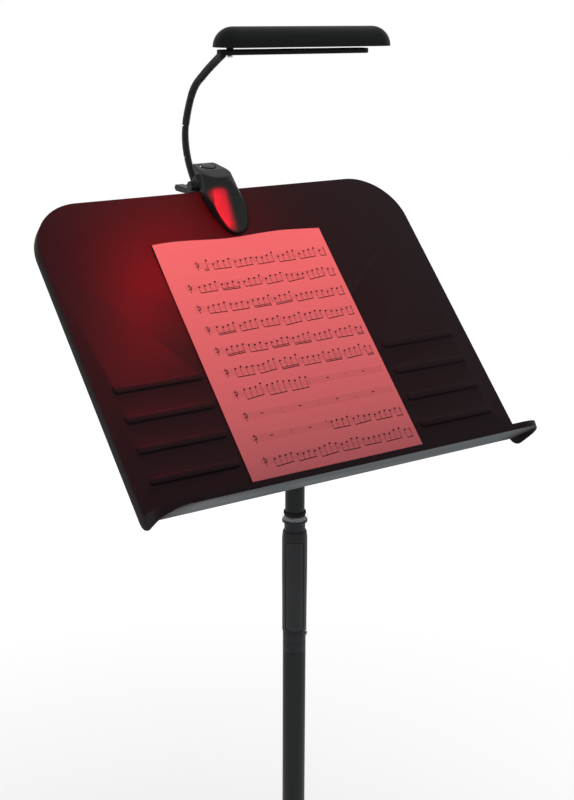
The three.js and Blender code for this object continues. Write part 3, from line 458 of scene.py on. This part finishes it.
softened("grip_screw", "grip_screw_zinc", zinc, "zinc_steel", 0.0003)
softened("tube_foot", "tube_foot_moulding", moulding, "black_plastic", 0.0005)
for node in ("clutch_shoe", "pad_spring"):
    cad[node].data.materials.clear()
    cad[node].data.materials.append(moulding if node == "clutch_shoe" else zinc)

# ---- Tilt joint ----------------------------------------------------------------------------------
# A cast fork is pressed on the upper tube. One bolt goes through its ears, two rubber washers and
# the tongue of the desk's bracket, and a moulded hand knob clamps them.
softened("tilt_fork", "tilt_fork_casting", powder_black, "black_paint", 0.0009, 3)
softened("tilt_bolt", "tilt_bolt_zinc", zinc, "zinc_steel", 0.0005)
softened("tilt_knob", "tilt_knob_moulding", moulding, "black_plastic", 0.0012, 3)
softened("tilt_washer_right", "washer_right", shoe_rubber, "black_rubber", 0.0002)
softened("tilt_washer_left", "washer_left", shoe_rubber, "black_rubber", 0.0002)

# ---- Desk ----------------------------------------------------------------------------------------
# One steel sheet with a rolled rim, four pressed ridges a side and a lipped ledge along its foot,
# powder coated black, with the floor's light painted in grey under the ledge. Four screws hold it
# to a pressed bracket on the tilt joint.
DESK_TILT = math.radians(45.96)
DESK_PIVOT = Vector((0, MAST_Y, 0.8124))
DESK_ORIGIN = Vector((0, -0.1186, 0.03))
DESK = (Matrix.Translation(DESK_PIVOT) @ Matrix.Rotation(DESK_TILT, 4, "X")
        @ Matrix.Translation(DESK_ORIGIN))
SHELF_SLOPE = math.radians(12)
SHELF_LIP = 0.0564
SHELF_SKIN = 0.0008
FLANGE_BEND = (0.205, 0.24)

desk_black_painted_floor_light, at = finish("desk_black_painted_floor_light")
blotches = at.noise(7, 3)
orange_peel = at.noise(1100, 2)
place_x, place_y, place_z = at.split()
behind = place_y - MAST_Y
above = place_z - DESK_PIVOT.z
up_face = behind * math.cos(DESK_TILT) + above * math.sin(DESK_TILT) - DESK_ORIGIN.y
out_of_face = above * math.cos(DESK_TILT) - behind * math.sin(DESK_TILT) - DESK_ORIGIN.z
rim = above.node("ShaderNodeMapRange", {}, {
    "Value": abs(place_x), 1: FLANGE_BEND[0], 2: FLANGE_BEND[1], 3: 1.0, 4: 0.0})
# Painted light: the underside of the ledge is painted grey where the white floor's light falls on
# it.
under_shelf = up_face + out_of_face * math.tan(SHELF_SLOPE)
painted_floor_light_mask = (under_shelf < SHELF_SKIN) * (out_of_face < SHELF_LIP) * rim
speckle = at.noise(700, 2)
face_black = blotches.mixed(colour(18, 9, 12), colour(24, 14, 17))
painted_floor_light_grey = speckle.mixed(colour(62, 67, 70), colour(98, 103, 106))
at.coat(Base_Color=painted_floor_light_mask.mixed(face_black, painted_floor_light_grey),
        Roughness=blotches * 0.06 + 0.5,
        Specular_IOR_Level=0.05,
        Normal=orange_peel.bump(0.00002))

softened("desk_panel", "desk_sheet_steel", desk_black_painted_floor_light, "black_paint", 0.0006, 2)
softened("desk_bracket", "desk_bracket_pressing", powder_black, "black_paint", 0.0006, 2)
for number in (1, 2, 3, 4):
    softened(f"bracket_screw_{number}", f"bracket_screw_zinc_{number}", zinc, "zinc_steel", 0.0005)

# ---- Sheet of music ------------------------------------------------------------------------------
# One loose sheet stands on the ledge and leans on the desk, its top edge a little wavy. It carries
# ten printed staves of made-up notes, drawn in millimetres. The red lamp's light over it is painted
# into the paper and the ink, brighter towards the top of the sheet.
SHEET = (0.2286, 0.3048)
SHEET_LEFT = -0.1169
SHEET_FOOT = 0.0145
SHEET_LIFT = 0.0008
SHEET_THICK = 0.0003
CORNER_CURL = 0.0016
RIPPLE = 0.0007
EDGE_DIP = 0.0012
STAVES = 10
STAVE_PITCH = 27.7
STAVE_TOP = 271.0
LINE_GAP = 1.75
LINE_HALF = 0.085
MARGIN_LEFT = 20
MARGIN_RIGHT = 222
FIRST_INDENT = 21
BAR_PITCH = 50.4
NOTES_LEFT = 33
NOTE_PITCH = 7.4

printed_page_painted_glow, at = finish("printed_page_painted_glow", "UV")
across, up, unused = at.split()
page_width, page_height = SHEET[0] * 1000, SHEET[1] * 1000
across = across * page_width
up = up * page_height
row_place = (STAVE_TOP - up) / STAVE_PITCH + 0.5
row = row_place.floor()
height = (0.5 - (row_place - row)) * STAVE_PITCH
on_page = (row > -0.5) * (row < STAVES - 0.5)
start = MARGIN_LEFT + (row < 0.5) * FIRST_INDENT
in_line = (across > start) * (across < MARGIN_RIGHT)
line_place = height / LINE_GAP + 0.5
off_line = abs(line_place - line_place.floor() - 0.5)
stave_lines = (off_line < LINE_HALF) * (abs(height) < 2.1 * LINE_GAP)
bar_place = (across - MARGIN_LEFT) / BAR_PITCH
bar_share = bar_place - bar_place.floor()
bars = (abs(bar_share - 0.5) > 0.4965) * (abs(height) < 2.05 * LINE_GAP)
cell_place = (across - NOTES_LEFT) / NOTE_PITCH
cell = cell_place.floor()
cell_share = (cell_place - cell - 0.5) * NOTE_PITCH


def chance(seed, *values):
    """A steady random number for each note, group or stave."""
    spot = at.node("ShaderNodeCombineXYZ", {}, {0: values[0], 1: values[1], 2: seed})
    return at.node("ShaderNodeTexWhiteNoise", {"noise_dimensions": "3D"}, {"Vector": spot}, out=0)


resting = (row > 6.5) * (row < 7.5) + (row > 5.5) * (row < 6.5) * (across > 122) \
    + (row > 7.5) * (row < 8.5) * (across < 118)
group_place = cell_place / 4
group = group_place.floor()
group_share = group_place - group
climb = (cell / 4 - group) * (chance(6.0, group, row) > 0.35)
tall = (row > 4.5) * (row < 6.5)
note_height = chance(1.0, cell, row) * 3 + climb * 4.6 + tall * 2.5
sounding = (across > start + 12) * (resting < 0.5)
head_x = cell_share / 1.45
head_y = (height - note_height) / 1.15
head = (head_x * head_x + head_y * head_y) < 1.0
slant = chance(3.0, group, row) * 4 - 0.8
beam_height = slant * (group_share - 0.5) - 7.4 + chance(4.0, group, row) * 1.2
stem = (abs(cell_share + 1.1) < 0.26) * (height < note_height) * (height > beam_height)
inside = (group_share > 0.09) * (group_share < 0.86)
beam = inside * (abs(height - beam_height) < 0.6)
double = inside * (chance(5.0, group, row) > 0.7) * (abs(height - beam_height - 1.9) < 0.45)
rests = resting * (abs(bar_share - 0.5) < 0.035) * (abs(height - 0.7) < 0.6)
clef_x = across - start - 4.2
clef_y = height - 1.2
clef_reach = clef_x * clef_x + clef_y * clef_y
clef_curl = (clef_reach > 3.2) * (clef_reach < 8.4) * (clef_x > -1.6)
clef = clef_curl + (abs(clef_x) < 0.4) * (abs(height) < 6)
ink = in_line * (stave_lines * 0.55 + bars * 0.8 + rests)
ink = ink + sounding * in_line * (head + stem + beam + double) + clef * (across > start)
ink = ink.node("ShaderNodeMath", {"operation": "MULTIPLY", "use_clamp": True}, {0: ink, 1: on_page})
fibre = at.stretched(1, 1.3, 1).noise(260, 4)
# Painted light: the red lamp's glow is painted into the paper, brighter towards the top, and the
# ink is painted red-lit.
paper_with_painted_glow = (up / page_height).mixed(colour(162, 80, 84), colour(240, 102, 104))
paper_with_painted_glow = (fibre * 0.08).mixed(paper_with_painted_glow, colour(215, 112, 112))
at.coat(Base_Color=(ink * 0.96).mixed(paper_with_painted_glow, colour(40, 8, 12)),
        Roughness=0.75,
        Specular_IOR_Level=0.1,
        Normal=fibre.bump(0.00004))

none_selected()
bpy.ops.mesh.primitive_grid_add(x_subdivisions=60, y_subdivisions=80, size=1, calc_uvs=True)
page = bpy.context.object
for vertex in page.data.vertices:
    side, rise = vertex.co.x + 0.5, vertex.co.y + 0.5
    curl = CORNER_CURL * max(0.0, rise - 0.8) * 5 * (0.5 + 0.5 * math.sin(9 * side + 0.6))
    ripple = RIPPLE * rise * math.sin(6.3 * side + 2 * rise)
    dip = EDGE_DIP * math.sin(11 * side) * max(0.0, rise - 0.9) * 10
    vertex.co = (SHEET_LEFT + SHEET[0] * side, SHEET_FOOT + SHEET[1] * rise + dip,
                 SHEET_LIFT + curl + abs(ripple))
page.data.transform(DESK)
applied(page, "SOLIDIFY", thickness=SHEET_THICK, offset=1)
only(page)
bpy.ops.object.shade_smooth_by_angle(angle=BARELY_BENT)
fitted(page, "printed_sheet", printed_page_painted_glow, "sheet", "white_paper", "music_sheet")

# ---- Lamp clip -----------------------------------------------------------------------------------
# A moulded battery clip bites the top edge of the desk. The front jaw holds three cells and the
# switch, the rear jaw has the thumb lever, and a coil spring round their pin closes them.
CLIP_X = -0.004
CLIP_GRAIN = 0.0007
BUTTON_R = 0.0091
BUTTON_RISE = 0.0011
CROWN_MIDDLE = (0.4175, 0.00755)
CROWN_SLOPE = math.atan2(21, 13.9) - math.radians(90)


def moulded(node, name, material, slot, grain=CLIP_GRAIN, passes=7):
    """A plain solid turned into a soft moulding: one even skin with its corners relaxed."""
    obj = joined_copy(node)
    applied(obj, "REMESH", mode="VOXEL", voxel_size=grain, use_smooth_shade=True)
    applied(obj, "SMOOTH", factor=0.5, iterations=passes)
    only(obj)
    bpy.ops.object.shade_smooth()
    return fitted(obj, name, material, cad[node]["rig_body"], slot, node)


clip_black, at = finish("clip_black")
tone = at.noise(30, 3)
at.coat(Base_Color=tone.mixed(colour(16, 17, 18), colour(22, 23, 24)),
        Roughness=tone * 0.08 + 0.36,
        Specular_IOR_Level=0.16,
        Normal=at.noise(2600).bump(0.000012))

cell_wrap, at = finish("cell_wrap")
along = at.noise(60, 2)
at.coat(Base_Color=along.mixed(colour(160, 110, 60), colour(196, 142, 84)),
        Metallic=0.9,
        Roughness=0.34)

moulded("front_jaw", "clip_front_jaw", clip_black, "black_plastic", passes=14)
moulded("rear_jaw", "clip_rear_jaw", clip_black, "black_plastic", 0.0006, 4)
moulded("neck_socket", "clip_neck_socket", clip_black, "black_plastic", 0.0004, 4)
softened("battery_cover", "battery_cover_moulding", moulding, "black_plastic", 0.0003)
softened("jaw_pin", "jaw_pin_zinc", zinc, "zinc_steel", 0.0003)
softened("front_pad", "front_pad_rubber", shoe_rubber, "black_rubber", 0.0003)
softened("rear_pad", "rear_pad_rubber", shoe_rubber, "black_rubber", 0.0003)
for number in (1, 2, 3):
    softened(f"battery_{number}", f"battery_cell_{number}", cell_wrap, "cell_metal", 0.0004)

none_selected()
bpy.ops.mesh.primitive_uv_sphere_add(segments=48, ring_count=24, radius=1)
button = bpy.context.object
bpy.ops.object.mode_set(mode="EDIT")
bpy.ops.mesh.select_all(action="SELECT")
bpy.ops.mesh.bisect(plane_co=(0, 0, 0.35), plane_no=(0, 0, 1), clear_inner=True)
bpy.ops.mesh.select_all(action="DESELECT")
bpy.ops.mesh.select_non_manifold()
bpy.ops.mesh.extrude_region_move(TRANSFORM_OT_translate={"value": (0, 0, -1.7)})
bpy.ops.mesh.edge_face_add()
bpy.ops.mesh.select_all(action="SELECT")
bpy.ops.mesh.normals_make_consistent(inside=False)
bpy.ops.object.mode_set(mode="OBJECT")
button.data.transform(DESK @ Matrix.Translation((CLIP_X, *CROWN_MIDDLE))
                      @ Matrix.Rotation(CROWN_SLOPE, 4, "X") @ Matrix.Translation((0, 0, -0.0002))
                      @ Matrix.Diagonal((BUTTON_R, BUTTON_R, BUTTON_RISE, 1)))
only(button)
bpy.ops.object.shade_smooth_by_angle(angle=math.radians(40))
fitted(button, "power_button_moulding", clip_black, "button", "black_plastic", "power_button")

COIL_TURNS = 7
COIL_STEPS = 20
COIL_R = 0.0033
COIL_WIRE = 0.0008
COIL_LENGTH = 0.018
JAW_AXIS = (0.4, -0.006)
spring_curve = bpy.data.curves.new("jaw_coil", "CURVE")
spring_curve.dimensions = "3D"
spring_curve.bevel_depth = COIL_WIRE / 2
spring_curve.bevel_resolution = 3
wire_path = spring_curve.splines.new("POLY")
steps = COIL_TURNS * COIL_STEPS
wire_path.points.add(steps)
for step in range(steps + 1):
    turn = 2 * math.pi * step / COIL_STEPS
    spot = Vector((CLIP_X - COIL_LENGTH / 2 + COIL_LENGTH * step / steps,
                   JAW_AXIS[0] + COIL_R * math.cos(turn), JAW_AXIS[1] + COIL_R * math.sin(turn)))
    wire_path.points[step].co = (*(DESK @ spot), 1)
coil = bpy.data.objects.new("jaw_coil", spring_curve)
bpy.context.scene.collection.objects.link(coil)
only(coil)
bpy.ops.object.convert(target="MESH")
coil = bpy.context.object
bpy.ops.object.shade_smooth()
fitted(coil, "jaw_coil_spring", zinc, "lamp", "zinc_steel", "jaw_spring")

# ---- Gooseneck -----------------------------------------------------------------------------------
# A flexible steel conduit wound from one ribbed strip and sleeved in black. It stays as it is bent
# and carries the two wires up to the light bar.
CONDUIT_R = 0.0046
RIB_PITCH = 0.0022
RIB = ((0.0, 0.84), (0.16, 0.95), (0.42, 1.0), (0.68, 0.95), (0.84, 0.84))
NECK_LENGTH = 0.03793
LINK_PLAY = 0.0001
LAST_SHARE = 0.93
NECK_STATIONS = [
    ((-8.00, 201.50, 1027.00), (-0.130, 0.443, 0.887)),
    ((-11.40, 216.31, 1061.61), (-0.029, 0.297, 0.954)),
    ((-12.13, 217.79, 1098.91), (0.000, -0.242, 0.970)),
    ((-12.46, 202.84, 1133.59), (-0.046, -0.553, 0.832)),
    ((-17.30, 173.22, 1155.58), (-0.183, -0.906, 0.382)),
    ((-25.47, 138.94, 1169.56), (-0.244, -0.915, 0.322)),
    ((-35.96, 104.20, 1180.54), (-0.322, -0.914, 0.248)),
    ((-49.00, 69.60, 1189.00), (-0.337, -0.913, 0.231)),
]


def neck_spot(station, share):
    """The middle of the conduit and its direction, a share of the way to the next station."""
    (p0, t0), (p1, t1) = NECK_STATIONS[station:station + 2]
    p0, p1 = Vector(p0) / 1000, Vector(p1) / 1000
    t0, t1 = Vector(t0) * NECK_LENGTH, Vector(t1) * NECK_LENGTH
    a, b = share ** 2, share ** 3
    spot = (p0 * (2 * b - 3 * a + 1) + t0 * (b - 2 * a + share)
            + p1 * (3 * a - 2 * b) + t1 * (b - a))
    way = (p0 * (6 * a - 6 * share) + t0 * (3 * a - 4 * share + 1)
           + p1 * (6 * share - 6 * a) + t1 * (3 * a - 2 * share))
    return spot + Vector((0, MAST_Y, 0)), way.normalized()


def neck_length(station):
    """One ribbed length of the conduit, built rib by rib along its middle line."""
    none_selected()
    margin = LINK_PLAY / NECK_LENGTH
    reach = LAST_SHARE if station == len(NECK_STATIONS) - 2 else 1.0
    ribs = round(NECK_LENGTH / RIB_PITCH)
    rings = []
    for rib in range(ribs):
        for share, radius in RIB:
            along = margin + (1 - 2 * margin) * (rib + share) / ribs
            rings.append((along * reach, radius * CONDUIT_R))
    rings.append(((1 - margin) * reach, RIB[0][1] * CONDUIT_R))
    spot, way = neck_spot(station, rings[0][0])
    bpy.ops.mesh.primitive_circle_add(vertices=24, radius=rings[0][1], fill_type="NGON",
                                      location=spot,
                                      rotation=way.to_track_quat("Z", "Y").to_euler())
    length = bpy.context.object
    bpy.ops.object.transform_apply(location=True, rotation=True, scale=True)
    bpy.ops.object.mode_set(mode="EDIT")
    bpy.ops.mesh.select_all(action="SELECT")
    before, old_way, old_radius = spot, way, rings[0][1]
    for along, radius in rings[1:]:
        spot, way = neck_spot(station, along)
        bpy.ops.mesh.extrude_region_move(TRANSFORM_OT_translate={"value": spot - before})
        bpy.ops.transform.resize(value=(radius / old_radius,) * 3, center_override=spot)
        axis, angle = old_way.rotation_difference(way).to_axis_angle()
        if angle > 1e-5:
            bpy.ops.transform.rotate(value=-angle, orient_axis="Z", center_override=spot,
                                     orient_matrix=axis.to_track_quat("Z", "Y").to_matrix(),
                                     orient_type="GLOBAL", orient_matrix_type="GLOBAL")
        before, old_way, old_radius = spot, way, radius
    bpy.ops.mesh.select_all(action="SELECT")
    bpy.ops.mesh.normals_make_consistent(inside=False)
    bpy.ops.object.mode_set(mode="OBJECT")
    only(length)
    bpy.ops.object.shade_smooth_by_angle(angle=math.radians(60))
    return length


conduit_black, at = finish("conduit_black")
tone = at.noise(50, 2)
at.coat(Base_Color=tone.mixed(colour(20, 21, 23), colour(30, 31, 33)),
        Roughness=tone * 0.1 + 0.36,
        Specular_IOR_Level=0.2)

for number in (1, 2, 3, 4, 5, 6, 7):
    body = "lamp_head" if number == 7 else f"neck_{number}_link"
    fitted(neck_length(number - 1), f"conduit_length_{number}", conduit_black, body,
           "black_plastic", f"neck_{number}")

# ---- Lamp head -----------------------------------------------------------------------------------
# A half-capsule shade stands on the stem of a slim light bar, which a screw holds to it. The bar's
# red lens covers a row of diodes. Two small red lamps stand in for their light on the desk and on
# the clip.
HEAD = (Matrix.Translation((0, 0.0696 + MAST_Y, 1.1948))
        @ Matrix.Rotation(math.radians(0.6), 4, "Y"))
SHADE_X = 0.0572
SHADE_LENGTH = 0.232
SHADE_R = 0.022
SHADE_SKIN = 0.0016
BAR_X = 0.0445
BAR_SIZE = (0.198, 0.020, 0.0056)
BAR_LOW = -0.0080
BAR_CORNER = 0.008
LENS_SIZE = (0.1574, 0.0114, 0.0012)
LENS_CORNER = 0.0037
LENS_X = 0.006
LENS_PLAY = 0.0003
STEM_SPOT = (-0.088, -0.005, 0.0030)
STEM_R = 0.004
STEM_LENGTH = 0.0120
DIODES_PER_METRE = 118

shade_black, at = finish("shade_black")
sheen = at.stretched(0.2, 1, 1).noise(40, 3)
at.coat(Base_Color=sheen.mixed(colour(11, 12, 13), colour(15, 16, 17)),
        Roughness=sheen * 0.06 + 0.42,
        Specular_IOR_Level=0.07,
        Normal=at.noise(2200).bump(0.000014))

red_lens, at = finish("red_lens")
diodes = at.split()[0] * DIODES_PER_METRE
diode_share = abs(diodes - diodes.floor() - 0.5) * 2
at.coat(Base_Color=colour(226, 30, 24),
        Roughness=0.18,
        Coat_Weight=0.4,
        Emission_Color=(diode_share < 0.45).mixed(colour(170, 6, 8), colour(255, 60, 44)),
        Emission_Strength=2.0)

none_selected()
bpy.ops.mesh.primitive_uv_sphere_add(segments=96, ring_count=48, radius=SHADE_R,
                                     rotation=(0, math.radians(90), 0))
dome = bpy.context.object
bpy.ops.object.transform_apply(location=True, rotation=True, scale=True)
bpy.ops.object.mode_set(mode="EDIT")
bpy.ops.mesh.select_all(action="SELECT")
bpy.ops.mesh.bisect(plane_co=(0, 0, 0), plane_no=(1, 0, 0), clear_inner=True)
bpy.ops.mesh.select_all(action="SELECT")
bpy.ops.mesh.bisect(plane_co=(0, 0, 0), plane_no=(0, 0, 1), clear_inner=True)
bpy.ops.mesh.select_all(action="DESELECT")
bpy.ops.object.mode_set(mode="OBJECT")
half_straight = SHADE_LENGTH / 2 - SHADE_R
for edge in dome.data.edges:
    edge.select = all(abs(dome.data.vertices[v].co.x) < 1e-6 for v in edge.vertices)
bpy.ops.object.mode_set(mode="EDIT")
bpy.ops.mesh.extrude_edges_move(TRANSFORM_OT_translate={"value": (-half_straight, 0, 0)})
bpy.ops.mesh.select_all(action="SELECT")
bpy.ops.transform.translate(value=(half_straight, 0, 0))
bpy.ops.object.mode_set(mode="OBJECT")
applied(dome, "MIRROR", merge_threshold=1e-5)
only(dome)
bpy.ops.object.mode_set(mode="EDIT")
bpy.ops.mesh.select_all(action="SELECT")
bpy.ops.mesh.remove_doubles(threshold=WELD)
bpy.ops.mesh.normals_make_consistent(inside=False)
bpy.ops.object.mode_set(mode="OBJECT")
applied(dome, "SOLIDIFY", thickness=SHADE_SKIN, offset=-1)
rounded(dome, 0.0004, 3, 50)
dome.data.transform(HEAD @ Matrix.Translation((SHADE_X, 0, 0)))
fitted(dome, "shade_moulding", shade_black, "lamp_head", "black_plastic", "lamp_shade")


def slab(size, corner, edge, low):
    """A slim bar with round ends, standing on its underside."""
    none_selected()
    bpy.ops.mesh.primitive_cube_add(size=1)
    bar = bpy.context.object
    bar.scale = size
    bar.location = (0, 0, low + size[2] / 2)
    bpy.ops.object.transform_apply(location=True, rotation=True, scale=True)
    bpy.ops.object.mode_set(mode="EDIT")
    bpy.ops.mesh.select_mode(type="EDGE")
    bpy.ops.mesh.select_all(action="DESELECT")
    bpy.ops.object.mode_set(mode="OBJECT")
    for line in bar.data.edges:
        a, b = [bar.data.vertices[v].co for v in line.vertices]
        line.select = abs((a - b).normalized().z) > 0.9
    bpy.ops.object.mode_set(mode="EDIT")
    bpy.ops.mesh.bevel(offset=corner, segments=10)
    bpy.ops.object.mode_set(mode="OBJECT")
    rounded(bar, edge, 3, 50)
    return bar


bar = slab(BAR_SIZE, BAR_CORNER, 0.0012, BAR_LOW)
recess_size = (LENS_SIZE[0] + 2 * LENS_PLAY, LENS_SIZE[1] + 2 * LENS_PLAY, 0.003)
recess = slab(recess_size, LENS_CORNER + LENS_PLAY, 0.0001, BAR_LOW - 0.0015)
recess.data.transform(Matrix.Translation((LENS_X, 0, 0)))
cut_with(bar, recess)
none_selected()
bpy.ops.mesh.primitive_cylinder_add(vertices=40, radius=STEM_R, depth=STEM_LENGTH,
                                    location=STEM_SPOT)
stem = bpy.context.object
bpy.ops.object.transform_apply(location=True, rotation=True, scale=True)
cut_with(bar, stem, "UNION")
rounded(bar, 0.0001, 1)
bar.data.transform(HEAD @ Matrix.Translation((BAR_X, 0, 0)))
fitted(bar, "light_bar_moulding", shade_black, "lamp_head", "black_plastic", "light_bar")

lens = slab(LENS_SIZE, LENS_CORNER, 0.0003, BAR_LOW)
lens.data.transform(HEAD @ Matrix.Translation((BAR_X + LENS_X, 0, 0)))
fitted(lens, "diode_lens", red_lens, "lamp_head", "red_lens", "led_lens")
softened("shade_screw", "shade_screw_zinc", zinc, "zinc_steel", 0.0003)

GLOW_RED = (1.0, 0.0, 0.015)
DESK_GLOW = (DESK @ Matrix.Translation((-0.092, 0.325, 0.145))
             @ Matrix.Rotation(math.radians(8), 4, "X"))
CLIP_GLOW = DESK @ Matrix.Translation((CLIP_X - 0.0125, 0.350, 0.075))
for name, stand, size, spread, power, lit_piece in (
        ("desk_glow", DESK_GLOW, (0.06, 0.06), 180, 2.9, "desk_sheet_steel"),
        ("clip_glow", CLIP_GLOW, (0.021, 0.048), 14, 0.16, "clip_front_jaw")):
    glow = bpy.data.lights.new(name, "AREA")
    glow.shape = "RECTANGLE"
    glow.size, glow.size_y = size
    glow.spread = math.radians(spread)
    glow.energy = power
    glow.color = GLOW_RED
    glow_lamp = bpy.data.objects.new(name, glow)
    bpy.context.scene.collection.objects.link(glow_lamp)
    glow_lamp.matrix_world = stand
    lit_pieces = bpy.data.collections.new(name + "_falls_on")
    lit_pieces.objects.link(bpy.data.objects[lit_piece])
    glow_lamp.light_linking.receiver_collection = lit_pieces
    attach(glow_lamp, "lamp_head")

# ---- Studio --------------------------------------------------------------------------------------
# A white floor, brighter far from the stand so that it keeps the shadow and shows no edge, under
# white surroundings and four soft lamps. The camera stands to the left of the desk and a little
# above it.
LENS_MM = 62.95
CAMERA_SPOT = (-0.8583, -1.224271, 1.2642)
CAMERA_AXES = ((0.83004, -0.55770, 0.00297), (0.15769, 0.23980, 0.95793),
               (-0.53495, -0.79465, 0.28699))
SKY_LIT = 0.65
SHADOW_REACH = (0.2, 2.0)
FLOOR_SHINE = (0.2, 0.92)
SOFT_LAMPS = (("overhead", (0.2, -0.6, 3.4), 2.6, 34), ("left", (-2.6, -1.2, 2.0), 1.8, 14),
              ("right", (2.6, -0.8, 1.9), 1.8, 16), ("back", (0.6, 2.8, 2.4), 2.0, 14))

world = bpy.data.worlds.new("studio")
bpy.context.scene.world = world
world.use_nodes = True
world.node_tree.nodes.clear()


def to_the_eye(tree):
    """One where the camera looks, straight, in gloss or through clear plastic."""
    path = tree.nodes.new("ShaderNodeLightPath")
    looks = ("Is Camera Ray", "Is Glossy Ray", "Is Transmission Ray")
    straight, gloss, through = [Wire(tree, path.outputs[look]) for look in looks]
    seen = straight + gloss
    return seen.math("MAXIMUM", seen, through)


shown = to_the_eye(world.node_tree)
sky = shown.node("ShaderNodeBackground", {}, {
    "Color": (1, 1, 1, 1), "Strength": shown * (1 - SKY_LIT) + SKY_LIT})
world_end = world.node_tree.nodes.new("ShaderNodeOutputWorld")
world.node_tree.links.new(sky.socket, world_end.inputs["Surface"])

floor_white, at = finish("floor_white")
floor_shown = to_the_eye(at.tree)
floor_x, floor_y, unused = at.split()
far_off = at.node("ShaderNodeMapRange", {}, {
    "Value": floor_x * floor_x + floor_y * floor_y, 1: SHADOW_REACH[0], 2: SHADOW_REACH[1],
    3: FLOOR_SHINE[0], 4: FLOOR_SHINE[1]})
scuffs = at.noise(2).mixed((0.86, 0.86, 0.86, 1), (0.88, 0.88, 0.88, 1))
lit = at.node("ShaderNodeBsdfDiffuse", {}, {"Color": scuffs})
bright = at.node("ShaderNodeEmission", {}, {"Color": (1, 1, 1, 1), "Strength": 1.06})
both = at.node("ShaderNodeMixShader", {}, {0: floor_shown * far_off, 1: lit, 2: bright})
floor_end = at.tree.nodes.new("ShaderNodeOutputMaterial")
at.tree.links.new(both.socket, floor_end.inputs["Surface"])
none_selected()
bpy.ops.mesh.primitive_plane_add(size=14, location=(0, 2, -0.0002))
floor = bpy.context.object
bpy.ops.object.transform_apply(location=True, rotation=True, scale=True)
floor.name = "studio_floor"
floor.data.materials.append(floor_white)

for name, spot, size, power in SOFT_LAMPS:
    soft = bpy.data.lights.new(name, "AREA")
    soft.size = size
    soft.energy = power
    lamp = bpy.data.objects.new(name, soft)
    bpy.context.scene.collection.objects.link(lamp)
    lamp.visible_glossy = False
    lamp.location = spot
    lamp.rotation_euler = (Vector((0, 0, 0.8)) - Vector(spot)).to_track_quat("-Z", "Y").to_euler()

camera_data = bpy.data.cameras.new("camera")
camera_data.lens = LENS_MM
camera_data.sensor_width = 36
camera_data.clip_start = 0.05
camera = bpy.data.objects.new("camera", camera_data)
bpy.context.scene.collection.objects.link(camera)
camera.matrix_world = Matrix.Translation(CAMERA_SPOT) @ Matrix(CAMERA_AXES).transposed().to_4x4()
bpy.context.scene.camera = camera
bpy.context.scene.view_settings.view_transform = "Standard"
